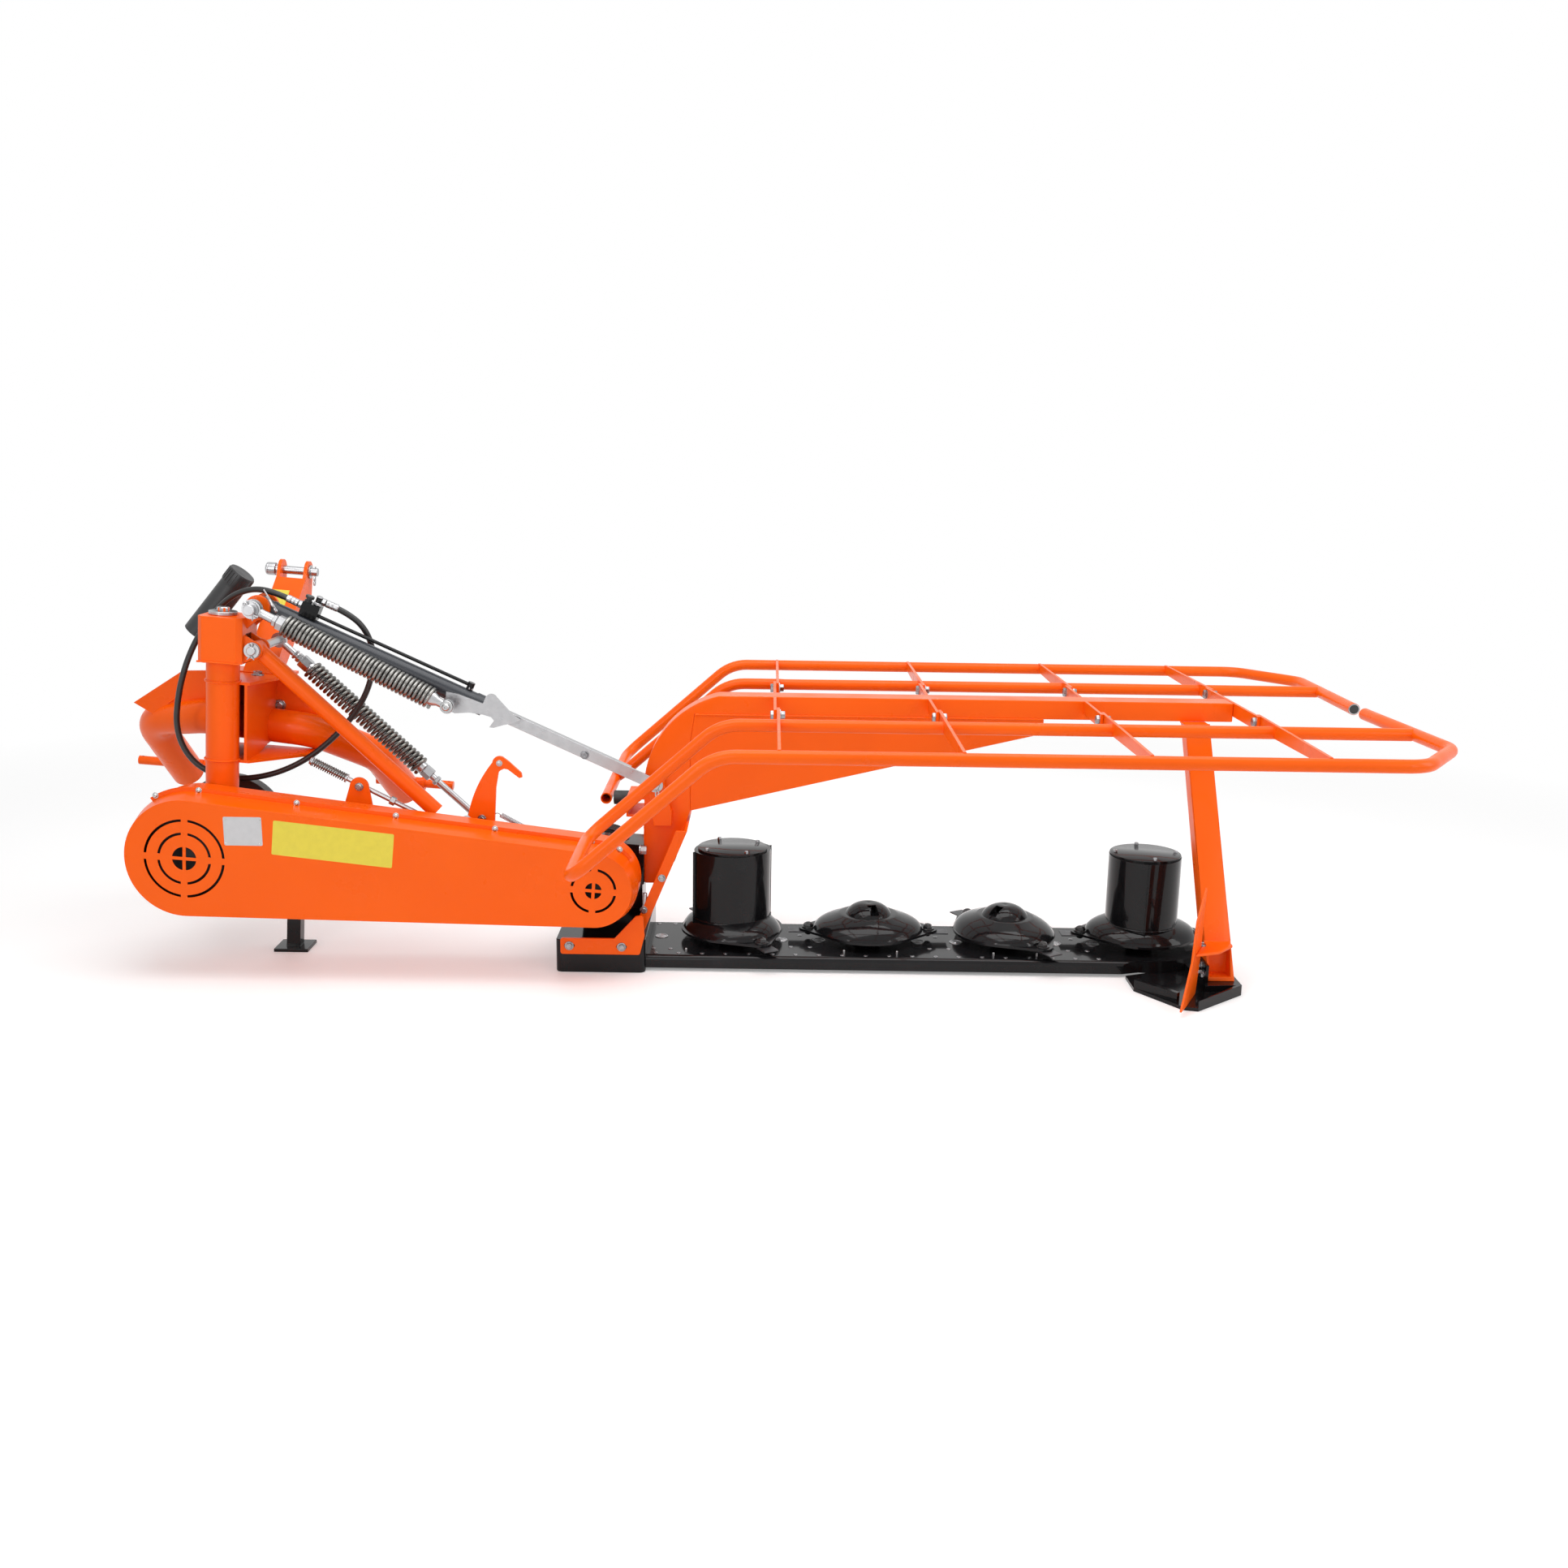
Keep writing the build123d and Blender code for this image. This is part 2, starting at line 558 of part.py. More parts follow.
with BuildPart() as driven_pulley:
    with BuildSketch(lean_side(PULLEY_FAR)):
        Circle(DRIVEN_PULLEY_R)
    extrude(amount=PULLEY_WIDTH)
    with BuildSketch(lean_side(ARM_FAR - 20)):
        Circle(SHAFT_R)
    extrude(amount=ARM_FAR - 20 - PULLEY_FAR + PULLEY_WIDTH + 16)
save(driven_pulley.part, "driven_pulley")

BELT_GAP = 0.3
BELT_T = 10.0
with BuildPart() as drive_belt:
    with BuildSketch(lean_side(PULLEY_FAR - 3)):
        with Locations((DRIVE_X, DRIVE_Z)):
            Circle(DRIVE_PULLEY_R + BELT_GAP + BELT_T)
        Circle(DRIVEN_PULLEY_R + BELT_GAP + BELT_T)
        make_hull()
    extrude(amount=PULLEY_WIDTH - 6)
    with BuildSketch(lean_side(PULLEY_FAR - 3)):
        with Locations((DRIVE_X, DRIVE_Z)):
            Circle(DRIVE_PULLEY_R + BELT_GAP)
        Circle(DRIVEN_PULLEY_R + BELT_GAP)
        make_hull()
    extrude(amount=PULLEY_WIDTH - 6, mode=Mode.SUBTRACT)
save(drive_belt.part, "drive_belt")

# Guard bell round the power shaft's end
with BuildPart() as shaft_guard:
    with BuildSketch(Plane(origin=lean_point(DRIVE_X, 0, DRIVE_Z), x_dir=(COS, 0, -SIN), z_dir=(SIN, 0, COS))):
        with BuildLine():
            Polyline((HOUSING_R, ARM_FAR), (SHIELD_NECK_R, ARM_FAR), (SHIELD_R, SHIELD_Y - 40), (SHIELD_R, SHIELD_Y),
                     (SHIELD_R - SHIELD_T, SHIELD_Y), (SHIELD_R - SHIELD_T, SHIELD_Y - 40),
                     (SHIELD_NECK_R, ARM_FAR + 8), (HOUSING_R, ARM_FAR + 8), close=True)
        make_face()
    revolve(axis=Axis(lean_point(DRIVE_X, 0, DRIVE_Z), (0, 1, 0)))
save(shaft_guard.part, "shaft_guard")


def spring_profile(radius, coils, length, core):
    """Half section of a close-wound spring along x, with one ridge for each coil."""
    pitch = length / coils
    points = [(0, core)]
    for coil in range(coils):
        points.append((coil * pitch, radius - 1.2 * WIRE_R))
        points.append(((coil + 0.5) * pitch, radius))
    points.append((length, radius - 1.2 * WIRE_R))
    points.append((length, core))
    return points


# Upper spring beside the cylinder, on the head pin and on a lever plate
LIFT_A = lean_point(LIFT_A_X, LIFT_Y, LIFT_A_Z)
LIFT_B = ground_point(LIFT_B_X, LIFT_Y, LIFT_B_Z)
LIFT_DIR = (LIFT_B - LIFT_A).normalized()
LIFT_UP = Vector(-LIFT_DIR.Z, 0, LIFT_DIR.X)
LIFT_SPAN = (LIFT_B - LIFT_A).length
SPRING_DROP = 24.0         # how far the spring's lower eye lies under the cylinder axis


def lift_plane(y):
    """Side view plane of the cylinder: x along it from the head pin, y across it, extrudes to -Y."""
    origin = Vector(LIFT_A.X, y, LIFT_A.Z)
    return Plane(origin=origin, x_dir=LIFT_DIR, z_dir=(0, -1, 0))


SPRING_EYE = UPPER_SPRING_START + UPPER_SPRING_LENGTH + 40
SPRING_DIR = (LIFT_DIR * SPRING_EYE - LIFT_UP * SPRING_DROP).normalized()
SPRING_REACH = math.hypot(SPRING_EYE, SPRING_DROP)


def spring_plane(y):
    """Side view plane of the upper spring: x along it from the head pin, extrudes to -Y."""
    return Plane(origin=Vector(LIFT_A.X, y, LIFT_A.Z), x_dir=SPRING_DIR, z_dir=(0, -1, 0))


with BuildPart() as upper_spring:
    with BuildSketch(spring_plane(UPPER_SPRING_Y)):
        with BuildLine():
            Polyline(*[(UPPER_SPRING_START + x, r) for x, r in
                       spring_profile(UPPER_SPRING_R, UPPER_SPRING_COILS, UPPER_SPRING_LENGTH, ROD_R)], close=True)
        make_face()
    revolve(axis=Axis(Vector(LIFT_A.X, UPPER_SPRING_Y, LIFT_A.Z), SPRING_DIR))
save(upper_spring.part, "upper_spring")

EYE_T = 14.0
with BuildPart() as spring_rod:
    with BuildSketch(spring_plane(UPPER_SPRING_Y + EYE_T / 2)):
        with Locations((SPRING_REACH, 0)):
            Circle(20)
        Circle(HEAD_PIN_R + 12)
        Circle(HEAD_PIN_R + RUN_FIT, mode=Mode.SUBTRACT)
        with Locations((SPRING_REACH, 0)):
            Circle(8 + RUN_FIT, mode=Mode.SUBTRACT)
    extrude(amount=EYE_T)
    with BuildSketch(Plane(origin=Vector(LIFT_A.X, UPPER_SPRING_Y, LIFT_A.Z) + SPRING_DIR * (HEAD_PIN_R + 8),
                           x_dir=(0, 1, 0), z_dir=SPRING_DIR)):
        Circle(ROD_R)
    extrude(amount=SPRING_REACH - HEAD_PIN_R - 8 - 15)
save(spring_rod.part, "spring_rod")

# Cylinder barrel with its base eye
with BuildPart() as lift_barrel:
    with BuildSketch(Plane(origin=LIFT_A + LIFT_DIR * BARREL_START, x_dir=(0, 1, 0), z_dir=LIFT_DIR)):
        Circle(BARREL_R)
    extrude(amount=BARREL_LENGTH)
    with BuildSketch(lift_plane(LIFT_Y + 22)):
        Circle(27)
    extrude(amount=44)
    with BuildSketch(lift_plane(LIFT_Y + 23)):
        Circle(HEAD_PIN_R + RUN_FIT)
    extrude(amount=46, mode=Mode.SUBTRACT)
    with BuildSketch(Plane(origin=LIFT_A + LIFT_DIR * (BARREL_START + 28), x_dir=(0, 1, 0), z_dir=LIFT_DIR)):
        Circle(BARREL_BORE_R)
    extrude(amount=BARREL_LENGTH, mode=Mode.SUBTRACT)
save(lift_barrel.part, "lift_barrel")

# Port block and hard pipe on top of the barrel
BLOCK_START = 102.0
BLOCK_LENGTH = 50.0
BLOCK_TOP = 66.0
BLOCK_HALF = 18.0
PIPE_R = 5.0
PIPE_HEIGHT = 40.0
PIPE_END = 612.0
PORT_HEIGHT = 50.0
PORT_R = 9.0
PORT_LENGTH = 12.0
ELBOW_X = BLOCK_START + 36
ELBOW_HEIGHT = 82.0
ELBOW_LENGTH = 20.0
with BuildPart() as lift_pipe:
    with BuildSketch(lift_plane(LIFT_Y + BLOCK_HALF)):
        with BuildLine():
            Polyline((BLOCK_START, BARREL_R + SEAT_GAP), (BLOCK_START + BLOCK_LENGTH, BARREL_R + SEAT_GAP),
                     (BLOCK_START + BLOCK_LENGTH, BLOCK_TOP), (BLOCK_START, BLOCK_TOP), close=True)
        make_face()
    extrude(amount=2 * BLOCK_HALF)
    for start, height, direction, length in ((BLOCK_START, PORT_HEIGHT, LIFT_DIR * -1, PORT_LENGTH),
                                             (ELBOW_X, BLOCK_TOP, LIFT_UP, ELBOW_HEIGHT - BLOCK_TOP + PORT_R),
                                             (ELBOW_X, ELBOW_HEIGHT, LIFT_DIR, ELBOW_LENGTH)):
        with BuildSketch(Plane(origin=LIFT_A + LIFT_DIR * start + LIFT_UP * height, x_dir=(0, 1, 0),
                               z_dir=direction)):
            Circle(PORT_R)
        extrude(amount=length)
    with BuildSketch(Plane(origin=LIFT_A + LIFT_DIR * (BLOCK_START + 10) + LIFT_UP * PIPE_HEIGHT, x_dir=(0, 1, 0),
                           z_dir=LIFT_DIR)):
        Circle(PIPE_R)
    extrude(amount=PIPE_END - BLOCK_START - 10)
    with BuildSketch(Plane(origin=LIFT_A + LIFT_DIR * PIPE_END + LIFT_UP * (BARREL_R + SEAT_GAP), x_dir=(0, 1, 0),
                           z_dir=LIFT_UP)):
        Circle(PIPE_R + 5)
    extrude(amount=PIPE_HEIGHT - BARREL_R + PIPE_R + 3)
save(lift_pipe.part, "lift_pipe")

# Hose from the first port over the head, down beside the post and back up to the second port
HOSE_R = 8.5
HOSE_GAP = 2.0             # from each port, because the hose leaves it at a slant
HOSE_FREE_RUN = 0.45       # part of a run that one arc may use
HOSE_START = LIFT_A + LIFT_DIR * (BLOCK_START - PORT_LENGTH - HOSE_GAP) + LIFT_UP * PORT_HEIGHT
HOSE_END = LIFT_A + LIFT_DIR * (ELBOW_X + ELBOW_LENGTH + HOSE_GAP) + LIFT_UP * ELBOW_HEIGHT
HOSE_INNER = [lean_point(*at) for at in (
    (-959, -72, 714), (-1030, -52, 716), (-1100, -28, 684), (-1162, -10, 616), (-1217, -8, 520), (-1250, -12, 400),
    (-1258, -12, 275), (-1204, -8, 182), (-1105, 2, 148), (-1000, 12, 164), (-905, 17, 210), (-825, 17, 278),
    (-760, 14, 355), (-712, 0, 440), (-690, -18, 530), (-700, -40, 610), (-745, -66, 668))]
HOSE_POINTS = [HOSE_START, *HOSE_INNER, HOSE_END]
HOSE_RADII = []
for before, at, after in zip(HOSE_POINTS, HOSE_POINTS[1:], HOSE_POINTS[2:]):
    turn = math.radians((at - before).get_angle(after - at))
    HOSE_RADII.append(HOSE_FREE_RUN * min((at - before).length, (after - at).length) / math.tan(turn / 2))
print("hose radii", [round(radius) for radius in HOSE_RADII])
with BuildPart() as lift_hose:
    with BuildLine():
        FilletPolyline(*HOSE_POINTS, radius=HOSE_RADII)
    with BuildSketch(Plane(origin=HOSE_POINTS[0], z_dir=HOSE_POINTS[1] - HOSE_POINTS[0])):
        Circle(HOSE_R)
    sweep()
save(lift_hose.part, "lift_hose")

# Lever plate on the barrel's near side, which holds the spring's lower eye
LEVER_T = 8.0
LEVER_EAR_X = 99.0
LEVER_EAR_Z = 33.0
LEVER_EAR_R = 17.0
LEVER_OUTLINE = ((-24, 2), (10, 10), (LEVER_EAR_X - LEVER_EAR_R, 14), (LEVER_EAR_X - LEVER_EAR_R, LEVER_EAR_Z),
                 (LEVER_EAR_X + 11, LEVER_EAR_Z + 13), (168, 20), (195, 15), (182, -1), (157, -19), (136, -37),
                 (124, -41), (129, -18), (118, -12), (94, -15), (57, -26), (21, -45), (-8, -46))
with BuildPart() as lever_plate:
    with BuildSketch(lift_plane(LIFT_Y - BARREL_R)):
        with BuildLine():
            Polyline(*[(SPRING_EYE + x, z) for x, z in LEVER_OUTLINE], close=True)
        make_face()
        with Locations((SPRING_EYE, -SPRING_DROP)):
            Circle(22)
        with Locations((SPRING_EYE + LEVER_EAR_X, LEVER_EAR_Z)):
            Circle(LEVER_EAR_R)
    extrude(amount=LEVER_T)
    with BuildSketch(lift_plane(LIFT_Y - BARREL_R)):
        with Locations((SPRING_EYE, -SPRING_DROP)):
            Circle(8)
    extrude(amount=LIFT_Y - BARREL_R - UPPER_SPRING_Y + 22)
save(lever_plate.part, "lever_plate")

# Piston rod and the channel that pulls the cutter bar up
ROD_START = 352.0
BAR_START = 690.0
with BuildPart() as piston_rod:
    with BuildSketch(Plane(origin=LIFT_A + LIFT_DIR * ROD_START, x_dir=(0, 1, 0), z_dir=LIFT_DIR)):
        Circle(ROD_R)
    extrude(amount=BAR_START - ROD_START + 60)
    with BuildSketch(Plane(origin=LIFT_A + LIFT_DIR * ROD_START, x_dir=(0, 1, 0), z_dir=LIFT_DIR)):
        Circle(BARREL_BORE_R - 0.08)
    extrude(amount=30)
save(piston_rod.part, "piston_rod")

BAR_NEAR = LIFT_Y - BAR_WIDTH / 2
with BuildPart() as lift_bar:
    with BuildSketch(Plane(origin=LIFT_A + LIFT_DIR * BAR_START, x_dir=(0, 1, 0), z_dir=LIFT_DIR)):
        Rectangle(BAR_WIDTH, BAR_HEIGHT)
    extrude(amount=LIFT_SPAN - BAR_START - 84)
    with BuildSketch(Plane(origin=LIFT_A + LIFT_DIR * (BAR_START - 1), x_dir=(0, 1, 0), z_dir=LIFT_DIR)):
        Circle(ROD_R)
    extrude(amount=61, mode=Mode.SUBTRACT)
    with BuildSketch(lift_plane(BAR_NEAR + 8)):
        with BuildLine():
            Polyline((LIFT_SPAN - 96, -BAR_HEIGHT / 2), (LIFT_SPAN, -BAR_HEIGHT / 2), (LIFT_SPAN, BAR_HEIGHT / 2),
                     (LIFT_SPAN - 96, BAR_HEIGHT / 2), close=True)
        make_face()
        with Locations((LIFT_SPAN, 0)):
            Circle(BAR_HEIGHT / 2)
    extrude(amount=8)
save(lift_bar.part, "lift_bar")

# Lower spring on its rod, from the strut pin to a lug on the arm
LOWER_TOP = lean_point(STRUT_PIN_X, LOWER_SPRING_Y, STRUT_PIN_Z)
LOWER_FOOT = lean_point(LOWER_FOOT_X, LOWER_SPRING_Y, LOWER_FOOT_Z)
LOWER_DIR = (LOWER_FOOT - LOWER_TOP).normalized()
LOWER_SPAN = (LOWER_FOOT - LOWER_TOP).length


def lower_plane(y):
    return Plane(origin=Vector(LOWER_TOP.X, y, LOWER_TOP.Z), x_dir=LOWER_DIR, z_dir=(0, -1, 0))


with BuildPart() as lower_spring:
    with BuildSketch(lower_plane(LOWER_SPRING_Y)):
        with BuildLine():
            Polyline(*[(LOWER_SPRING_START + x, r) for x, r in
                       spring_profile(LOWER_SPRING_R, LOWER_SPRING_COILS, LOWER_SPRING_LENGTH, 10)], close=True)
        make_face()
    revolve(axis=Axis(LOWER_TOP, LOWER_DIR))
save(lower_spring.part, "lower_spring")

with BuildPart() as lower_spring_rod:
    with BuildSketch(lower_plane(LOWER_SPRING_Y + EYE_T / 2)):
        Circle(STRUT_PIN_R + 10)
        Circle(STRUT_PIN_R + RUN_FIT, mode=Mode.SUBTRACT)
        with Locations((LOWER_SPAN, 0)):
            Circle(20)
            Circle(10 + RUN_FIT, mode=Mode.SUBTRACT)
    extrude(amount=EYE_T)
    with BuildSketch(Plane(origin=LOWER_TOP + LOWER_DIR * (STRUT_PIN_R + 6), x_dir=(0, 1, 0), z_dir=LOWER_DIR)):
        Circle(10)
    extrude(amount=LOWER_SPAN - STRUT_PIN_R - 6 - 16)
save(lower_spring_rod.part, "lower_spring_rod")

with BuildPart() as lower_spring_lug:
    with BuildSketch(lean_side(LOWER_SPRING_Y + 18)):
        with Locations((LOWER_FOOT_X, LOWER_FOOT_Z)):
            Circle(10)
    extrude(amount=LOWER_SPRING_Y + 18 - ARM_FAR)
    with BuildSketch(lean_side(ARM_FAR + 40)):
        with Locations((LOWER_FOOT_X, LOWER_FOOT_Z)):
            Circle(24)
    extrude(amount=40)
save(lower_spring_lug.part, "lower_spring_lug")

# Breakaway latch: a sprung rod through an ear on the arm
LATCH_Y = -110.0
LATCH_X = -695.0
LATCH_Z = 191.0
LATCH_BOLT_R = 9.0
with BuildPart() as breakaway_ear:
    with BuildSketch(lean_side(LATCH_Y - 14)):
        with BuildLine():
            Polyline((-740, 119), (-650, 116), (-668, 192), (-722, 192), close=True)
        make_face()
        with Locations((LATCH_X, LATCH_Z)):
            Circle(27)
            Circle(LATCH_BOLT_R + SEAT_GAP, mode=Mode.SUBTRACT)
    extrude(amount=PLATE_T)
save(breakaway_ear.part, "breakaway_ear")

LATCH_A = lean_point(-842, LATCH_Y, 252)
LATCH_B = lean_point(-545, LATCH_Y, 128)
LATCH_DIR = (LATCH_B - LATCH_A).normalized()
with BuildPart() as breakaway_rod:
    with BuildSketch(Plane(origin=LATCH_A, x_dir=(0, 1, 0), z_dir=LATCH_DIR)):
        Circle(7)
    extrude(amount=(LATCH_B - LATCH_A).length)
    with BuildSketch(Plane(origin=LATCH_A + LATCH_DIR * 10, x_dir=(0, 1, 0), z_dir=LATCH_DIR)):
        Circle(13)
    extrude(amount=105)
    with BuildSketch(lean_side(LATCH_Y)):
        with Locations((LATCH_X, LATCH_Z)):
            Circle(LATCH_BOLT_R)
    extrude(amount=30)
save(breakaway_rod.part, "breakaway_rod")

# Transport hook, which swings on the arm
HOOK_Y = -120.0
HOOK_T = 10.0
HOOK_X = -345.0
HOOK_Z = 128.0
HOOK_HEAD = (41, 164)      # hole in the head, from the pivot
HOOK_BEAK = ((50, 182), (67, 171), (104, 141), (107, 129), (99, 126), (66, 148), (51, 150), (40, 138), (35, 92),
             (36, -12), (8, -17), (-16, -10), (-40, 5))
with BuildPart() as transport_hook:
    with BuildSketch(lean_side(HOOK_Y)):
        with BuildLine():
            ThreePointArc((HOOK_X - 40, HOOK_Z + 5), (HOOK_X - 20, HOOK_Z + 87), (HOOK_X + 22, HOOK_Z + 166))
            Polyline((HOOK_X + 22, HOOK_Z + 166), *[(HOOK_X + x, HOOK_Z + z) for x, z in HOOK_BEAK])
        make_face()
        with Locations((HOOK_X + HOOK_HEAD[0], HOOK_Z + HOOK_HEAD[1])):
            Circle(20)
            Circle(6, mode=Mode.SUBTRACT)
        with Locations((HOOK_X, HOOK_Z)):
            Circle(18)
            Circle(8 + RUN_FIT, mode=Mode.SUBTRACT)
    extrude(amount=HOOK_T)
save(transport_hook.part, "transport_hook")

with BuildPart() as hook_lug:
    with BuildSketch(lean_side(HOOK_Y + 12)):
        with BuildLine():
            Polyline((HOOK_X - 30, 104.4), (HOOK_X + 30, 99.8), (HOOK_X + 14, HOOK_Z + 12), (HOOK_X - 14, HOOK_Z + 12),
                     close=True)
        make_face()
    extrude(amount=8)
    with BuildSketch(lean_side(HOOK_Y + 12)):
        with Locations((HOOK_X, HOOK_Z)):
            Circle(8)
    extrude(amount=12 + HOOK_T + 6)
save(hook_lug.part, "hook_lug")

# Return spring from the hook to a lug on the arm
HOOK_SPRING_R = 8.0
HOOK_SPRING_START = 16.0
HOOK_SPRING_LENGTH = 84.0
HOOK_SPRING_Y = HOOK_Y - HOOK_T / 2
HOOK_SPRING_A = lean_point(HOOK_X + 37.6, HOOK_SPRING_Y, HOOK_Z + 20)
HOOK_SPRING_B = lean_point(HOOK_X + 151, HOOK_SPRING_Y, 97)
HOOK_SPRING_DIR = (HOOK_SPRING_B - HOOK_SPRING_A).normalized()
with BuildPart() as hook_spring:
    with BuildSketch(along(HOOK_SPRING_A, HOOK_SPRING_B)):
        Circle(2.5)
    extrude(amount=(HOOK_SPRING_B - HOOK_SPRING_A).length)
    with BuildSketch(along(HOOK_SPRING_A + HOOK_SPRING_DIR * HOOK_SPRING_START, HOOK_SPRING_B)):
        Circle(HOOK_SPRING_R)
    extrude(amount=HOOK_SPRING_LENGTH)
    with BuildSketch(lean_side(HOOK_SPRING_Y + 3)):
        with BuildLine():
            Polyline((HOOK_X + 137, 92.2), (HOOK_X + 173, 89.5), (HOOK_X + 159, 106), (HOOK_X + 147, 106), close=True)
        make_face()
    extrude(amount=6)
save(hook_spring.part, "hook_spring")

# Parking stand in its sleeve on the arm's front
SLEEVE_IN = STAND_SIZE + 2 * SLEEVE_FIT
with BuildPart() as stand_sleeve:
    with BuildSketch(lean_floor(STAND_X, STAND_Y, -64)):
        Rectangle(SLEEVE_IN + 2 * SLEEVE_WALL, SLEEVE_IN + 2 * SLEEVE_WALL)
        Rectangle(SLEEVE_IN, SLEEVE_IN, mode=Mode.SUBTRACT)
    extrude(amount=150)
    with BuildSketch(lean_floor(STAND_X, (ARM_FAR + STAND_Y - SLEEVE_IN / 2 - SLEEVE_WALL) / 2, -40)):
        Rectangle(60, STAND_Y - SLEEVE_IN / 2 - SLEEVE_WALL - ARM_FAR)
    extrude(amount=100)
save(stand_sleeve.part, "stand_sleeve")

STAND_TOP = lean_point(STAND_X, STAND_Y, 110)
STAND_LENGTH = (STAND_TOP.Z - 8) / COS
with BuildPart() as parking_stand:
    with BuildSketch(Plane(origin=STAND_TOP, x_dir=(COS, 0, -SIN), z_dir=(-SIN, 0, -COS))):
        Rectangle(STAND_SIZE, STAND_SIZE)
        Rectangle(STAND_SIZE - 8, STAND_SIZE - 8, mode=Mode.SUBTRACT)
    extrude(amount=STAND_LENGTH)
    foot = STAND_TOP - Vector(SIN, 0, COS) * STAND_LENGTH
    with BuildSketch(Plane(origin=(foot.X, STAND_Y, 0))):
        Rectangle(100, 90)
    extrude(amount=10)
save(parking_stand.part, "parking_stand")

# Gearbox that carries the cutter bar in the arm's hinge
RIB_COUNT = 6
RIB_PITCH = 12.0
with BuildPart() as gearbox:
    with BuildSketch(side(ARM_FAR)):
        with Locations((0, HINGE_Z)):
            Circle(HINGE_R)
    extrude(amount=ARM_FAR - ARM_NEAR)
    with BuildSketch(side(70)):
        with Locations((0, HINGE_Z)):
            Circle(88)
        with BuildLine():
            Polyline((-60, SHOE_TOP), (SLANT_FOOT, SHOE_TOP), (SLANT_FOOT, UPRIGHT_BOTTOM),
                     (UPRIGHT_LEFT, UPRIGHT_BOTTOM), (UPRIGHT_LEFT, HINGE_Z + 60), (60, HINGE_Z + 64),
                     (-84, HINGE_Z), close=True)
        make_face()
    extrude(amount=70 - ARM_FAR - 4)
    for k in range(RIB_COUNT):
        with BuildSketch(side(66 - k * RIB_PITCH)):
            with Locations((0, HINGE_Z)):
                Circle(94)
        extrude(amount=RIB_PITCH / 2)
    with BuildSketch(side(ARM_FAR + 4)):
        with Locations((0, HINGE_Z)):
            Circle(HINGE_R)
    extrude(amount=4)
    with BuildSketch(side(ARM_FAR - 16)):
        with Locations((0, HINGE_Z)):
            Circle(SHAFT_R + RUN_FIT)
    extrude(amount=ARM_FAR - 16 - ARM_NEAR, mode=Mode.SUBTRACT)
save(gearbox.part, "gearbox")

# Curved upright and beam over the discs, whose lower right edge lies on the slanted plate
def plate_x(z):
    return SLANT_FOOT + (z - SHOE_TOP) * SLANT_SLOPE


with BuildPart() as main_beam:
    with BuildSketch(side(BEAM_HALF)):
        with BuildLine():
            SagittaArc((UPRIGHT_LEFT, 520), (330, BEAM_TOP), 54)
            Polyline((330, BEAM_TOP), (BEAM_RIGHT, BEAM_TOP), (BEAM_RIGHT, BEAM_BOTTOM),
                     (UPRIGHT_RIGHT + 12, BEAM_BOTTOM), (UPRIGHT_RIGHT, 640), (UPRIGHT_RIGHT, 436),
                     (plate_x(SLANT_TOP), SLANT_TOP), (plate_x(UPRIGHT_BOTTOM), UPRIGHT_BOTTOM),
                     (UPRIGHT_LEFT, UPRIGHT_BOTTOM), (UPRIGHT_LEFT, 520))
        make_face()
    extrude(amount=2 * BEAM_HALF)
save(main_beam.part, "main_beam")

with BuildPart() as beam_gusset:
    for y in (-BEAM_HALF + PLATE_T, BEAM_HALF):
        with BuildSketch(side(y)):
            with BuildLine():
                Polyline((UPRIGHT_RIGHT, 436), (1258, 677), (1258, BEAM_BOTTOM),
                         (UPRIGHT_RIGHT + 12, BEAM_BOTTOM), (UPRIGHT_RIGHT, 640), close=True)
            make_face()
        extrude(amount=PLATE_T)
save(beam_gusset.part, "beam_gusset")

# Lug that the lift bar pulls on
LUG_NEAR = BAR_NEAR + 12
LUG_RIGHT = 198.0
with BuildPart() as lift_lug:
    with BuildSketch(side(LUG_NEAR + 14)):
        with BuildLine():
            Polyline((LIFT_B_X - 20, LIFT_B_Z - 20), (UPRIGHT_LEFT + 30, 400), (LUG_RIGHT, 400),
                     (LUG_RIGHT, 440), (LIFT_B_X + 20, LIFT_B_Z + 12), close=True)
        make_face()
        with Locations((LIFT_B_X, LIFT_B_Z)):
            Circle(24)
    extrude(amount=14)
    with BuildSketch(side(-BEAM_HALF)):
        with BuildLine():
            Polyline((UPRIGHT_LEFT + 30, 400), (LUG_RIGHT, 400), (LUG_RIGHT, 440), (UPRIGHT_LEFT + 30, 440),
                     close=True)
        make_face()
    extrude(amount=-BEAM_HALF - LUG_NEAR - 14)
save(lift_lug.part, "lift_lug")

# Slanted inner plate between the gearbox and the first disc
with BuildPart() as inner_plate:
    with BuildSketch(side(110)):
        with BuildLine():
            Polyline((plate_x(SHOE_TOP), SHOE_TOP), (plate_x(SHOE_TOP) + PLATE_T, SHOE_TOP),
                     (plate_x(SLANT_TOP) + PLATE_T, SLANT_TOP), (plate_x(SLANT_TOP), SLANT_TOP), close=True)
        make_face()
    extrude(amount=260)
    with BuildSketch(side(-150)):
        with BuildLine():
            Polyline((plate_x(SHOE_TOP + 14) - 24, SHOE_TOP + 14), (plate_x(SHOE_TOP + 14) + PLATE_T, SHOE_TOP + 14),
                     (plate_x(SLANT_TOP) + PLATE_T, SLANT_TOP), (plate_x(SLANT_TOP) - 24, SLANT_TOP), close=True)
        make_face()
    extrude(amount=PLATE_T - 2)
save(inner_plate.part, "inner_plate")

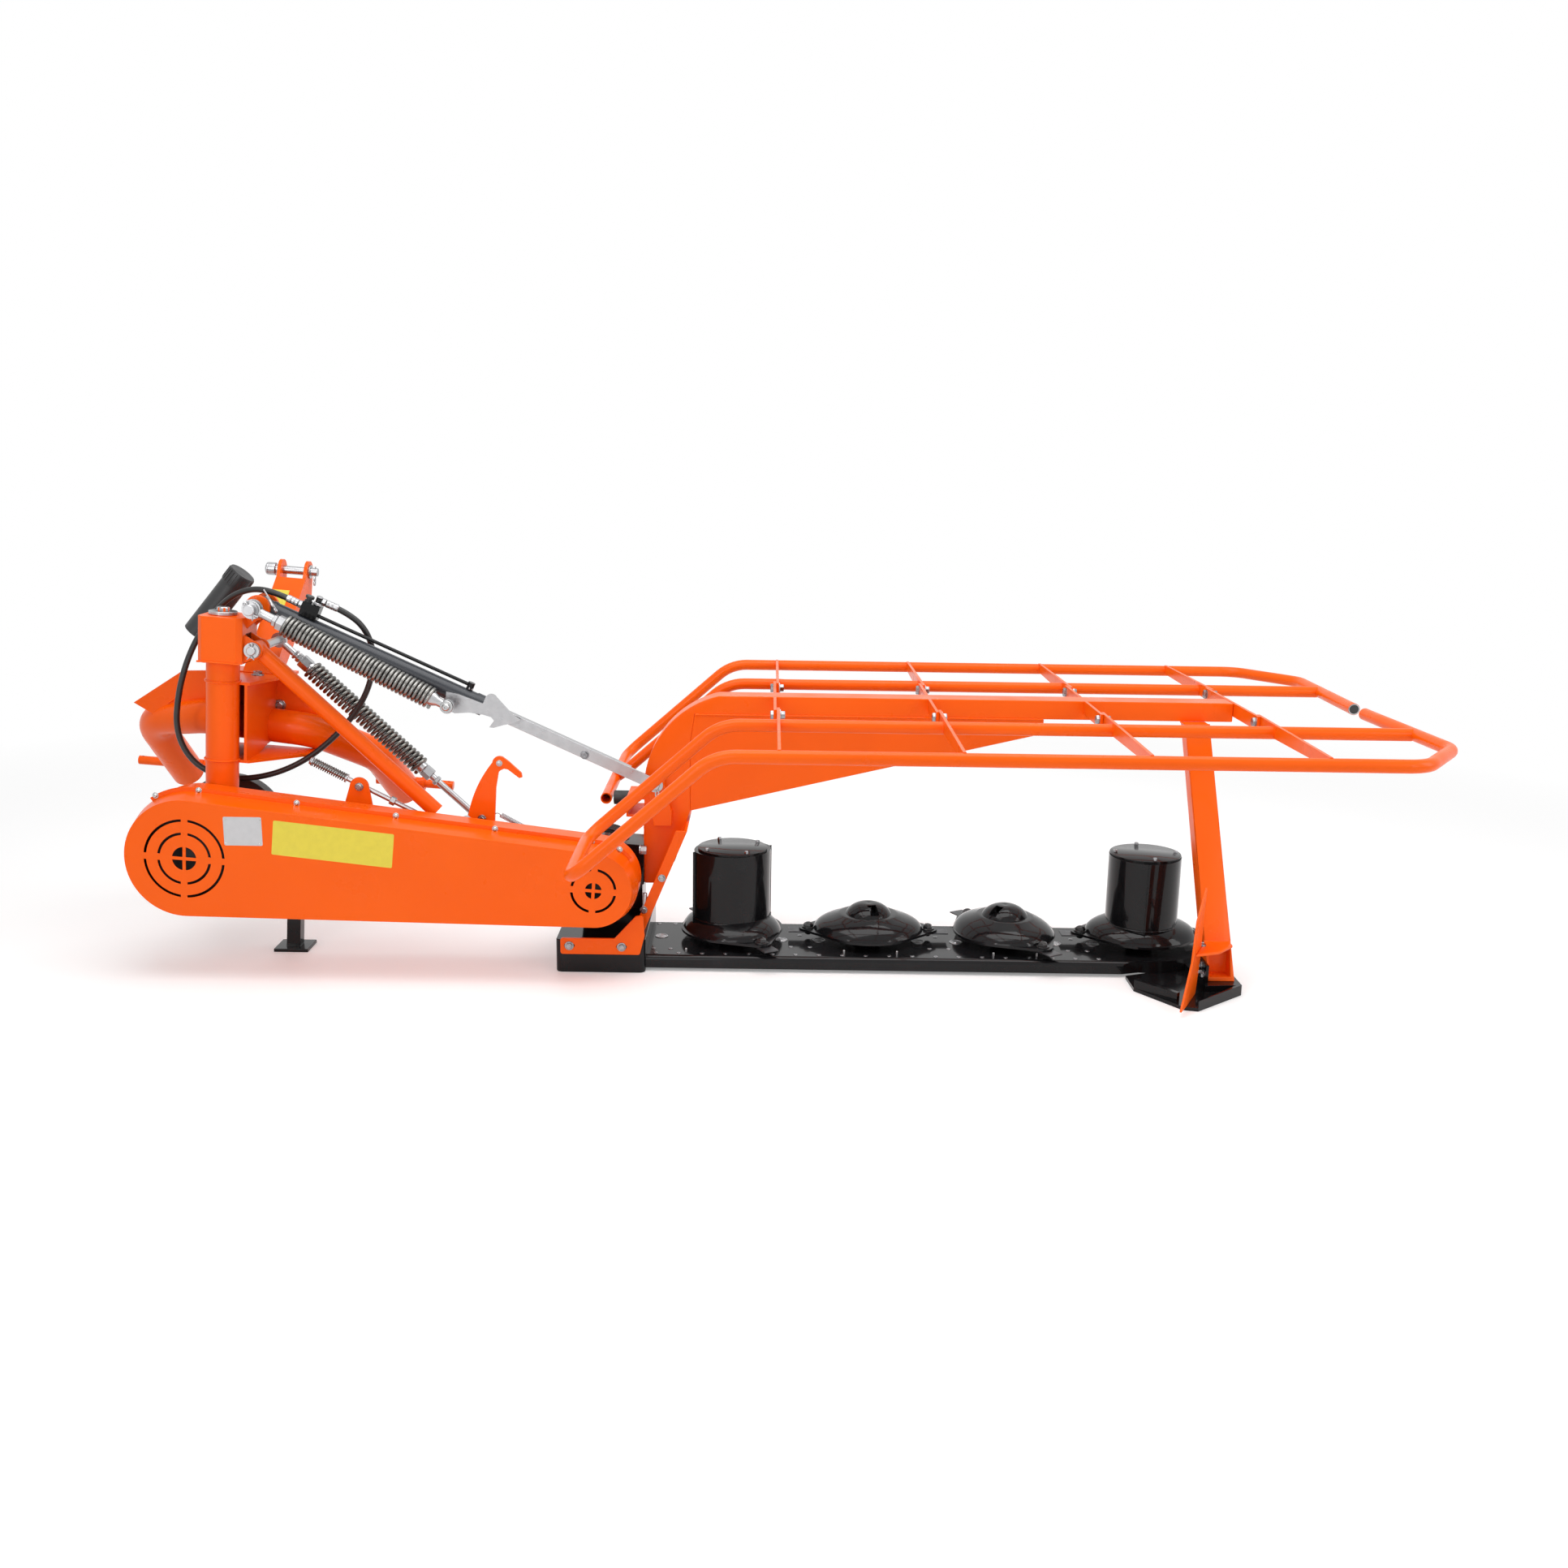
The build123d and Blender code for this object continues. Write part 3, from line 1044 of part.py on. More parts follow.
# Inner shoe and the cutter bar
with BuildPart() as inner_shoe:
    with BuildSketch(Plane(origin=(HX, 0, 0))):
        with BuildLine():
            Polyline((SHOE_LEFT, SHOE_REAR), (SHOE_RIGHT, SHOE_REAR), (SHOE_RIGHT, SHOE_FRONT), (40, SHOE_FRONT + 40),
                     (-60, SHOE_FRONT + 40), (SHOE_LEFT, SHOE_FRONT - 40), close=True)
        make_face()
        fillet(vertices(), radius=18)
    extrude(amount=SHOE_TOP)
save(inner_shoe.part, "inner_shoe")

with BuildPart() as inner_bracket:
    with BuildSketch(side(SHOE_REAR)):
        with BuildLine():
            Polyline((-107, 57), (117, 57), (131, 112), (127, 173), (106, 170), (46, 104), (-107, 104), close=True)
        make_face()
        fillet(vertices(), radius=7)
        with Locations((-82, 82), (66, 80)):
            SlotOverall(30, 11, mode=Mode.SUBTRACT)
    extrude(amount=PLATE_T)
save(inner_bracket.part, "inner_bracket")

with BuildPart() as cutter_bar:
    with BuildSketch(Plane(origin=(HX, 0, BAR_BOTTOM))):
        with BuildLine():
            Polyline((SHOE_RIGHT, BAR_REAR), (BAR_RIGHT, BAR_REAR), (BAR_RIGHT + 190, BAR_REAR + 60),
                     (BAR_RIGHT + 190, 120), (SHOE_RIGHT, 120), close=True)
        make_face()
        with Locations(*[(DISC_1_X + i * DISC_PITCH, 0) for i in range(DISC_COUNT)]):
            Circle(SCALLOP_R)
        with Locations(((SHOE_RIGHT - 100), 0)):
            Rectangle(200, 700, mode=Mode.SUBTRACT)
        with Locations((DISC_1_X, -290)):
            Rectangle(6000, 200, mode=Mode.SUBTRACT)
    extrude(amount=BAR_TOP - BAR_BOTTOM)
    fillet(edges().filter_by(Axis.X).group_by(Axis.Y)[0].sort_by(Axis.Z)[-1], radius=BAR_ROUNDING)
save(cutter_bar.part, "cutter_bar")

# Discs with their knives: tall crop cones at both ends, low domes between
for i in range(DISC_COUNT):
    x = DISC_1_X + i * DISC_PITCH
    turn = -60.0 if i % 2 == 0 else 0.0
    tall = i in (0, DISC_COUNT - 1)
    with BuildPart() as disc:
        with BuildSketch(Plane(origin=(HX + x, 0, BAR_TOP))):
            Circle(38)
        extrude(amount=DISC_Z - BAR_TOP)
        with BuildSketch(Plane(origin=(HX + x, 0, DISC_Z)).rotated((0, 0, turn))):
            Circle(DISC_R)
            with Locations((LOBE_X, 0), (-LOBE_X, 0)):
                Circle(LOBE_R)
            make_hull()
        extrude(amount=DISC_T)
        for height, half_long, half_short in HUMP:
            with BuildSketch(Plane(origin=(HX + x, 0, DISC_Z + height)).rotated((0, 0, turn))):
                Ellipse(half_long, half_short)
        loft()
        if tall:
            with BuildSketch(Plane(origin=(HX + x, 0, DISC_Z + DISC_T)).rotated((0, 0, turn + CONE_TURN))):
                with BuildLine():
                    SagittaArc((-CONE_LONG, 0), (CONE_LONG, 0), CONE_SHORT)
                    SagittaArc((CONE_LONG, 0), (-CONE_LONG, 0), CONE_SHORT)
                make_face()
            extrude(amount=CONE_Z - LID_T - DISC_Z - DISC_T)
            with BuildSketch(Plane(origin=(HX + x, 0, CONE_Z - LID_T))):
                Circle(LID_R)
            extrude(amount=LID_T)
        else:
            with BuildSketch(Plane(origin=(HX + x, 0, DISC_Z), x_dir=(1, 0, 0), z_dir=(0, -1, 0))):
                with BuildLine():
                    Polyline((0, CAP_TOP), (0, CAP_Z), (CAP_R, CAP_Z))
                    ThreePointArc((CAP_R, CAP_Z), (CAP_R * 0.7, CAP_Z + 0.72 * (CAP_TOP - CAP_Z)), (0, CAP_TOP))
                make_face()
            revolve(axis=Axis((HX + x, 0, 0), (0, 0, 1)))
            with BuildSketch(Plane(origin=(HX + x, 0, DISC_Z + CAP_TOP - RECESS)).rotated((0, 0, turn - 75))):
                Circle(RECESS_R)
                with Locations((CAP_R, 0)):
                    Rectangle(2 * CAP_R, RECESS_R)
            extrude(amount=RECESS, mode=Mode.SUBTRACT)
    save(disc.part, f"disc_{i + 1}")
    with BuildPart() as knives:
        with BuildSketch(Plane(origin=(HX + x, 0, DISC_Z - KNIFE_T)).rotated((0, 0, turn))):
            with Locations((KNIFE_TIP_R - 50, 0), (50 - KNIFE_TIP_R, 0)):
                Rectangle(100, KNIFE_WIDTH)
        extrude(amount=KNIFE_T)
    save(knives.part, f"knives_{i + 1}")

# Outer post and shoe
POST_FOOT_Z = 30.0
RAIL_TOP = 34.0
SIDE_PLATE_TOP = 84.0
POCKET_Z = (42.0, 116.0)   # opening in the post's near side
TOP = ground_point(OUTER_POST_TOP_X, OUTER_POST_TOP_Y, BEAM_BOTTOM)
FOOT = ground_point(OUTER_POST_FOOT_X, OUTER_POST_FOOT_Y, POST_FOOT_Z)
with BuildPart() as outer_shoe:
    with BuildSketch(Plane(origin=(HX, 0, 0))):
        with BuildLine():
            Polyline((1600, -440), (1640, -450), (1795, -320), (1795, 60), (1740, 190), (BAR_RIGHT + 190, 150),
                     (BAR_RIGHT + 190, -130), (1501, -200), (1501, -300), close=True)
        make_face()
    extrude(amount=BAR_BOTTOM)
    with BuildSketch(Plane(origin=(HX, 0, BAR_BOTTOM))):
        with BuildLine():
            Polyline((1690, -330), (1795, -320), (1795, 60), (1740, 190), (BAR_RIGHT + 192, 150), (BAR_RIGHT + 192, -150),
                     close=True)
        make_face()
    extrude(amount=POST_FOOT_Z - BAR_BOTTOM)
    with BuildSketch(Plane(origin=(HX, 0, BAR_BOTTOM))):
        with BuildLine():
            Polyline((1501, -300), (1594, -401), (1604, -391), (1512, -290), close=True)
        make_face()
    extrude(amount=RAIL_TOP - BAR_BOTTOM)
    with BuildSketch(Plane(origin=(HX, 0, BAR_BOTTOM))):
        with BuildLine():
            Polyline((1640, -450), (1795, -320), (1788, -312), (1650, -440), close=True)
        make_face()
    extrude(amount=POST_FOOT_Z - BAR_BOTTOM)
    with BuildSketch(Plane(origin=(HX, 0, POST_FOOT_Z))):
        with BuildLine():
            Polyline((1693, -318), (1701, -318), (1701, -225), (1693, -225), close=True)
        make_face()
    extrude(amount=SIDE_PLATE_TOP - POST_FOOT_Z)
    add(cutter_bar.part, mode=Mode.SUBTRACT)
save(outer_shoe.part, "outer_shoe")

# Swath board beside the outer shoe, and the bracket that holds it to the post
BOARD_T = 6.0
BOARD_PLANE = Plane(origin=ground_point(1665, -320, 60), x_dir=(0.45, 0.893, 0), z_dir=(0.893, -0.45, 0))
BOARD_FOOT = BAR_BOTTOM + SEAT_GAP - 60
with BuildPart() as swath_board:
    with BuildSketch(BOARD_PLANE):
        with BuildLine():
            Polyline((-200, -44), (-110, BOARD_FOOT), (-20, BOARD_FOOT), (0, 0), (20, 60), (22, 130), (40, 240),
                     (-60, 170), (-90, 60), close=True)
        make_face()
    extrude(amount=BOARD_T)
save(swath_board.part, "swath_board")

BRACKET_Z = 128.0
BRACKET_A = BOARD_PLANE.from_local_coords(Vector(-60, 0, BOARD_T + SEAT_GAP))
BRACKET_B = BOARD_PLANE.from_local_coords(Vector(18, 0, BOARD_T + SEAT_GAP))
with BuildPart() as outer_post:
    with BuildSketch(Plane(origin=(TOP.X, TOP.Y, TOP.Z))):
        Rectangle(70, 50)
    with BuildSketch(Plane(origin=(FOOT.X, FOOT.Y, FOOT.Z))):
        Rectangle(76, 56)
    loft()
    with BuildSketch(Plane(origin=(0, 0, BRACKET_Z))):
        with BuildLine():
            Polyline((BRACKET_A.X, BRACKET_A.Y), (BRACKET_B.X, BRACKET_B.Y), (HX + 1706, -250), (HX + 1770, -250),
                     (HX + 1770, -290), (HX + 1716, -350), close=True)
        make_face()
    extrude(amount=PLATE_T)
    with BuildSketch(Plane(origin=(HX + 1741, -274, POCKET_Z[0]))):
        Rectangle(58, 60)
    extrude(amount=POCKET_Z[1] - POCKET_Z[0], mode=Mode.SUBTRACT)
save(outer_post.part, "outer_post")

# Channel with a rubber bumper under the front guard's low end
HALF_INNER_X = -8.0
HALF_INNER_Z = 437.0
REST_LEFT = 62.0
REST_HALF_H = 29.0
REST_WALL = 6.0
REST_FAR = 142.0
BUMPER_Y = 114.0
BUMPER_R = 21.0
BUMPER_GAP = 5.0
with BuildPart() as guard_rest:
    with BuildSketch(side(REST_FAR)):
        with Locations(((REST_LEFT + UPRIGHT_LEFT - SEAT_GAP) / 2, HALF_INNER_Z)):
            Rectangle(UPRIGHT_LEFT - SEAT_GAP - REST_LEFT, 2 * REST_HALF_H)
        with Locations(((REST_LEFT + UPRIGHT_LEFT) / 2 + REST_WALL, HALF_INNER_Z)):
            Rectangle(UPRIGHT_LEFT - REST_LEFT, 2 * (REST_HALF_H - REST_WALL), mode=Mode.SUBTRACT)
    extrude(amount=REST_FAR + 10)
save(guard_rest.part, "guard_rest")

with BuildPart() as guard_bumper:
    with BuildSketch(Plane(origin=ground_point(HALF_INNER_X + TUBE_R + BUMPER_GAP, BUMPER_Y, HALF_INNER_Z),
                           z_dir=(1, 0, 0))):
        Circle(BUMPER_R)
    extrude(amount=REST_LEFT - SEAT_GAP - HALF_INNER_X - TUBE_R - BUMPER_GAP)
save(guard_bumper.part, "guard_bumper")

# Guard frame: fixed crossbar stubs with hinge bolts, and two folding halves
FOLD_BOLT_R = 6.0
HINGE_GAP = 1.0
HINGE_OVERLAP = 18.0       # how far a crossbar reaches past its hinge bolt
with BuildPart() as guard_brackets:
    for x in CROSSBAR_XS:
        for sign in (-1, 1):
            start = BEAM_HALF if x < BEAM_RIGHT else 0
            with BuildSketch(side(sign * (start + FOLD_Y + HINGE_OVERLAP) / 2)):
                with Locations((x, BEAM_TOP - CROSSBAR_H / 2)):
                    Rectangle(CROSSBAR_T, CROSSBAR_H)
            extrude(amount=(FOLD_Y + HINGE_OVERLAP - start) / 2, both=True)
            with BuildSketch(Plane(origin=ground_point(x - 12, sign * FOLD_Y, FOLD_Z), z_dir=(1, 0, 0))):
                Circle(FOLD_BOLT_R)
            extrude(amount=38)
            with BuildSketch(Plane(origin=ground_point(x - 12, sign * FOLD_Y, FOLD_Z), z_dir=(1, 0, 0))):
                Circle(FOLD_BOLT_R + 5)
            extrude(amount=8)
save(guard_brackets.part, "guard_brackets")

TUBE_END_Y = 98.0          # open near end of the front guard's low tube
for name, sign in (("guard_rear", -1), ("guard_front", 1)):
    y_in = sign * GUARD_INNER_Y
    y_out = sign * GUARD_OUTER_Y
    loop = [
        ground_point(GUARD_RIGHT - 20, sign * 40, GUARD_Z),
        ground_point(GUARD_RIGHT, sign * 560, GUARD_Z),
        ground_point(GUARD_RIGHT - 150, y_out, GUARD_Z),
        ground_point(GUARD_BEND_X, y_out, GUARD_Z),
        ground_point(HALF_INNER_X, y_out, HALF_INNER_Z),
        ground_point(HALF_INNER_X, y_in, HALF_INNER_Z),
        ground_point(GUARD_BEND_X, y_in, GUARD_Z),
        ground_point(GUARD_RIGHT - TUBE_R, y_in, GUARD_Z),
    ]
    with BuildPart() as guard:
        with BuildLine():
            FilletPolyline(*loop, radius=[90, 90, 140, 60, 60, 140])
        with BuildSketch(Plane(origin=loop[0], z_dir=loop[1] - loop[0])):
            Circle(TUBE_R)
        sweep()
        for x in CROSSBAR_XS:
            with BuildSketch(Plane(origin=ground_point(x + CROSSBAR_T / 2 + HINGE_GAP, 0, 0), x_dir=(0, 1, 0),
                                   z_dir=(1, 0, 0))):
                with BuildLine():
                    Polyline((sign * (FOLD_Y - HINGE_OVERLAP), BEAM_TOP - CROSSBAR_H),
                             (sign * (FOLD_Y - HINGE_OVERLAP), BEAM_TOP), (y_out, BEAM_TOP - CROSSBAR_TIP),
                             (y_out, GUARD_Z - TUBE_R / 2), (y_in, BEAM_TOP - CROSSBAR_H), close=True)
                make_face()
            extrude(amount=CROSSBAR_T)
        with BuildSketch(Plane(origin=ground_point(0, sign * FOLD_Y, FOLD_Z), z_dir=(1, 0, 0))):
            Circle(FOLD_BOLT_R + RUN_FIT)
        extrude(amount=GUARD_RIGHT - 60, mode=Mode.SUBTRACT)
        if name == "guard_front":
            with BuildSketch(Plane(origin=ground_point(HALF_INNER_X, TUBE_END_Y, HALF_INNER_Z), z_dir=(0, 1, 0))):
                Circle(TUBE_R)
                Circle(TUBE_R - 3.5, mode=Mode.SUBTRACT)
            extrude(amount=GUARD_INNER_Y + 90 - TUBE_END_Y)
    save(guard.part, name)
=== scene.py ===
import json
import math

import bmesh
import bpy
from mathutils import Matrix, Vector


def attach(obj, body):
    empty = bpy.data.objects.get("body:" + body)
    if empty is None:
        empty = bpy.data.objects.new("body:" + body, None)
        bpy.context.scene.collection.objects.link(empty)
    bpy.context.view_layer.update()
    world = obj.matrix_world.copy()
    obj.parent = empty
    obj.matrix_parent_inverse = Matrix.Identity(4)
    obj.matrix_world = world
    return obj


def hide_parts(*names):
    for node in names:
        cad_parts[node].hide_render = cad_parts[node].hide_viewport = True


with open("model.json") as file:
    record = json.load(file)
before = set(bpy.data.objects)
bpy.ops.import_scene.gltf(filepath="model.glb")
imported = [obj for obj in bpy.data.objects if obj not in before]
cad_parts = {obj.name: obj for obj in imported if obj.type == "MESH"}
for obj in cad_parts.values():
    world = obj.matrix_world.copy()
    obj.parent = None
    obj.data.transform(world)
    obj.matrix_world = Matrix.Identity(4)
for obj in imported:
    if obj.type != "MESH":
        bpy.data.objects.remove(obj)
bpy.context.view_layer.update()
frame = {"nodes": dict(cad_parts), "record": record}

# Sizes repeated from the part's source, in millimetres
HX = -333.9                # X of the lift hinge
HINGE_Z = 275.0
TILT = math.radians(4.0)
COS = math.cos(TILT)
SIN = math.sin(TILT)
NEAR = Vector((0, -1, 0))
FAR = Vector((0, 1, 0))
UP = Vector((0, 0, 1))
OUTWARDS = Vector((1, 0, 0))
LEAN_X = Vector((COS, 0, -SIN))
LEAN_Z = Vector((SIN, 0, COS))

# Places on the leaning headstock and carrier
HITCH_X = -1045            # hitch plates and top link pin
TOP_PIN_Y = 392
TOP_PIN_Z = 728
POST_X = -1088             # pivot post
POST_Y = -109
HEAD_PIN_X = -990          # pin through the swivel head and the cylinder's base eye
HEAD_PIN_Z = 672
HEAD_PIN_HOLE = 15.2       # radius of the hole in its washers
STRUT_PIN_X = -994
STRUT_PIN_Z = 556
LOWER_Y = 85               # lower spring
LOWER_FOOT_X = -405
LOWER_FOOT_Z = 81
LATCH_Y = -110             # breakaway latch
EAR_X = -695
EAR_Z = 191
HOOK_X = -345              # transport hook's pin
HOOK_Y = -125
HOOK_Z = 128
DRIVE_X = -1116.0          # belt cover: the middle of its drive end, and the radii of both ends
DRIVE_Z = -3.0
COVER_BIG_R = 176.0
COVER_SMALL_R = 118.0
COVER_FACE = -322.3        # just off its front
FLANGE_FAR = -260
FLANGE_NEAR = -263

# Places on the mower's frame
LIFT_EYE_X = 154
LIFT_EYE_Z = 523
BAR_TOP = 46.0             # top of the cutter bar
DISC_1_X = 373.0
DISC_PITCH = 404.0
DISC_COUNT = 4
FOLD_Y = 235               # axes of the guard's hinges
FOLD_Z = 755
GUARD_RIGHT = 2190
GUARD_Z = 748


def ground(x, y, z):
    """A point from the hinge's X and the ground, in metres."""
    return Vector((HX + x, y, z)) / 1000


def lean(x, y, z):
    """A point of the leaning headstock and carrier, from the hinge."""
    return Vector((HX + x * COS + z * SIN, y, HINGE_Z - x * SIN + z * COS)) / 1000


# Lift linkage: base eye on the head, rod eye on the cutter bar frame
LIFT_Y = -80.0
LIFT_A = lean(HEAD_PIN_X, LIFT_Y, HEAD_PIN_Z)
LIFT_B = ground(LIFT_EYE_X, LIFT_Y, LIFT_EYE_Z)
LIFT_DIR = (LIFT_B - LIFT_A).normalized()
LIFT_UP = Vector((-LIFT_DIR.z, 0, LIFT_DIR.x))
LIFT_SPAN = (LIFT_B - LIFT_A).length * 1000
BAR_FACE = -93.2           # just off the lift bar's near face
SPRING_EYE = 584.0
SPRING_DROP = 24.0
SPRING_Y = -160.0
SPRING_DIR = (LIFT_DIR * SPRING_EYE - LIFT_UP * SPRING_DROP).normalized()
LOWER_TOP = lean(STRUT_PIN_X, LOWER_Y, STRUT_PIN_Z)
LOWER_FOOT = lean(LOWER_FOOT_X, LOWER_Y, LOWER_FOOT_Z)
LOWER_DIR = (LOWER_FOOT - LOWER_TOP).normalized()
LATCH_A = lean(-842, LATCH_Y, 252)
LATCH_B = lean(-545, LATCH_Y, 128)
LATCH_DIR = (LATCH_B - LATCH_A).normalized()


def on_lift(x, y, height=0.0):
    """A point of the cylinder: along it from the head pin, and across it."""
    at = LIFT_A + LIFT_DIR * (x / 1000) + LIFT_UP * (height / 1000)
    return Vector((at.x, y / 1000, at.z))


def on_spring(x, y=SPRING_Y):
    """A point of the upper spring's axis, from the head pin."""
    at = LIFT_A + SPRING_DIR * (x / 1000)
    return Vector((at.x, y / 1000, at.z))


# Materials: each reads Object coordinates
class Finish:
    """Short calls for building one finish from nodes."""

    def __init__(self, name):
        self.material = bpy.data.materials.new(name)
        self.material.use_nodes = True
        self.tree = self.material.node_tree
        self.tree.nodes.clear()
        self.shader = self.add("ShaderNodeBsdfPrincipled")
        self.output = self.add("ShaderNodeOutputMaterial")
        self.link(self.shader.outputs[0], self.output.inputs[0])
        self.coords = self.add("ShaderNodeTexCoord").outputs["Object"]

    def add(self, kind):
        return self.tree.nodes.new(kind)

    def link(self, a, b):
        self.tree.links.new(a, b)

    def feed(self, socket, source):
        self.link(source, self.shader.inputs[socket])

    def set(self, **values):
        for key, value in values.items():
            self.shader.inputs[key.replace("_", " ")].default_value = value

    def noise(self, scale, detail=3.0, stretch=None):
        noise = self.add("ShaderNodeTexNoise")
        noise.inputs["Scale"].default_value = scale
        noise.inputs["Detail"].default_value = detail
        source = self.coords
        if stretch:
            mapping = self.add("ShaderNodeMapping")
            mapping.inputs["Scale"].default_value = stretch
            self.link(source, mapping.inputs["Vector"])
            source = mapping.outputs[0]
        self.link(source, noise.inputs["Vector"])
        return noise.outputs["Fac"]

    def ramp(self, factor, *stops):
        ramp = self.add("ShaderNodeValToRGB")
        while len(ramp.color_ramp.elements) < len(stops):
            ramp.color_ramp.elements.new(0.5)
        for element, (at, colour) in zip(ramp.color_ramp.elements, stops):
            element.position = at
            element.color = (*colour, 1)
        self.link(factor, ramp.inputs[0])
        return ramp.outputs[0]

    def blend(self, factor, under, over):
        """Colour that goes from under to over with the factor."""
        mix = self.add("ShaderNodeMix")
        mix.data_type = "RGBA"
        self.link(factor, mix.inputs["Factor"])
        self.link(under, mix.inputs["A"])
        mix.inputs["B"].default_value = (*over, 1)
        return mix.outputs["Result"]

    def grey(self, factor, low, high, start=0.3, end=0.7):
        span = self.add("ShaderNodeMapRange")
        span.inputs["From Min"].default_value = start
        span.inputs["From Max"].default_value = end
        span.inputs["To Min"].default_value = low
        span.inputs["To Max"].default_value = high
        self.link(factor, span.inputs["Value"])
        return span.outputs[0]

    def bump(self, height, strength, distance):
        bump = self.add("ShaderNodeBump")
        bump.inputs["Strength"].default_value = strength
        bump.inputs["Distance"].default_value = distance
        self.link(height, bump.inputs["Height"])
        self.feed("Normal", bump.outputs[0])

    def glow(self, strength):
        emission = self.add("ShaderNodeEmission")
        emission.inputs["Strength"].default_value = strength
        return emission.outputs[0]

    def mix_shaders(self, factor, under, over):
        """Shader that goes from under to over with the factor."""
        mix = self.add("ShaderNodeMixShader")
        for socket, source in zip(mix.inputs, (factor, under, over)):
            self.link(source, socket)
        return mix.outputs[0]


def powder_coat(name, light, dark, rough, peel, coat, gloss, dust=None):
    """Powder coat: slow colour drift, orange peel, a clear gloss and a little dust."""
    m = Finish(name)
    colour = m.ramp(m.noise(2.2, 4.0), (0.35, dark), (0.65, light))
    if dust:
        colour = m.blend(m.grey(m.noise(17.0, 8.0), 0.0, 0.10, 0.52, 0.80), colour, dust)
    m.feed("Base Color", colour)
    m.feed("Roughness", m.grey(m.noise(9.0, 6.0), rough * 0.8, rough * 1.35))
    m.bump(m.noise(420.0, 2.0), peel, 0.0004)
    m.set(Coat_Weight=coat, Coat_Roughness=0.05, Specular_IOR_Level=gloss)
    return m.material


def steel(name, light, dark, rough, scale=28.0, stretch=None, metallic=1.0):
    """Zinc plate or bare steel: cloudy grain in colour and in roughness."""
    m = Finish(name)
    cloud = m.noise(scale, 5.0, stretch)
    m.feed("Base Color", m.ramp(cloud, (0.3, dark), (0.7, light)))
    m.feed("Roughness", m.grey(m.noise(scale * 2.5, 3.0, stretch), rough * 0.85, rough * 1.15))
    m.bump(m.noise(scale * 9, 2.0), 0.12, 0.0003)
    m.set(Metallic=metallic)
    return m.material


def matt_black(name, colour, rough, grain, strength):
    """Rubber or moulded plastic with a fine grain."""
    m = Finish(name)
    m.feed("Base Color", m.ramp(m.noise(14.0), (0.3, colour), (0.75, [c * 1.7 for c in colour])))
    m.feed("Roughness", m.grey(m.noise(40.0), rough * 0.85, rough * 1.15))
    m.bump(m.noise(grain, 2.0), strength, 0.0005)
    return m.material


def plate_film(name, colour, rough):
    """Printed film or plate with nothing on it: faint mottling under a satin face."""
    m = Finish(name)
    m.feed("Base Color", m.ramp(m.noise(60.0, 4.0), (0.3, [c * 0.94 for c in colour]), (0.7, colour)))
    m.feed("Roughness", m.grey(m.noise(25.0), rough * 0.8, rough * 1.2))
    m.bump(m.noise(300.0, 2.0), 0.04, 0.0002)
    return m.material


ORANGE = powder_coat("orange_powder_coat", (0.930, 0.120, 0.002), (0.895, 0.108, 0.001), 0.30, 0.05, 0.08,
                     0.15)
BLACK = powder_coat("black_gloss", (0.0075, 0.0075, 0.0085), (0.0045, 0.0045, 0.005), 0.16, 0.03, 0.32, 0.08,
                    (0.05, 0.05, 0.05))
ZINC = steel("zinc_plate", (0.47, 0.47, 0.48), (0.42, 0.42, 0.43), 0.32, 45.0)
BOLT = steel("zinc_bolts", (0.36, 0.36, 0.37), (0.22, 0.22, 0.23), 0.26, 60.0)
BRIGHT = steel("bright_bolts", (0.56, 0.56, 0.56), (0.42, 0.42, 0.42), 0.20, 60.0)
KNIFE = steel("dark_knife_steel", (0.095, 0.095, 0.100), (0.050, 0.050, 0.053), 0.36, 30.0, None, 0.8)
SPRING = steel("dark_spring_steel", (0.22, 0.215, 0.20), (0.11, 0.107, 0.10), 0.30, 35.0)
SPRING_LIGHT = steel("bright_spring_steel", (0.30, 0.295, 0.28), (0.15, 0.147, 0.14), 0.28, 35.0)
GREY = powder_coat("cylinder_grey", (0.034, 0.037, 0.045), (0.026, 0.029, 0.036), 0.30, 0.04, 0.12, 0.3)
CHROME = steel("chrome_rod", (0.72, 0.72, 0.73), (0.60, 0.60, 0.61), 0.08, 20.0)
HOSE = matt_black("hose_cover", (0.012, 0.012, 0.012), 0.38, 600.0, 0.15)
RUBBER = matt_black("bumper_rubber", (0.020, 0.020, 0.020), 0.62, 240.0, 0.3)
PLASTIC = matt_black("black_plastic", (0.016, 0.016, 0.017), 0.42, 500.0, 0.12)
BLACK_BOLT = powder_coat("blackened_bolts", (0.016, 0.016, 0.017), (0.009, 0.009, 0.009), 0.26, 0.05, 0.2,
                         0.35)
WHITE_NYLON = plate_film("white_nylon", (0.74, 0.74, 0.72), 0.5)
GREY_PLATE = plate_film("blank_data_plate", (0.56, 0.56, 0.57), 0.35)
YELLOW_FILM = plate_film("blank_yellow_film", (0.74, 0.61, 0.05), 0.4)
PULLEY = powder_coat("dark_cast_pulleys", (0.030, 0.030, 0.031), (0.018, 0.018, 0.018), 0.42, 0.10, 0.0, 0.4)

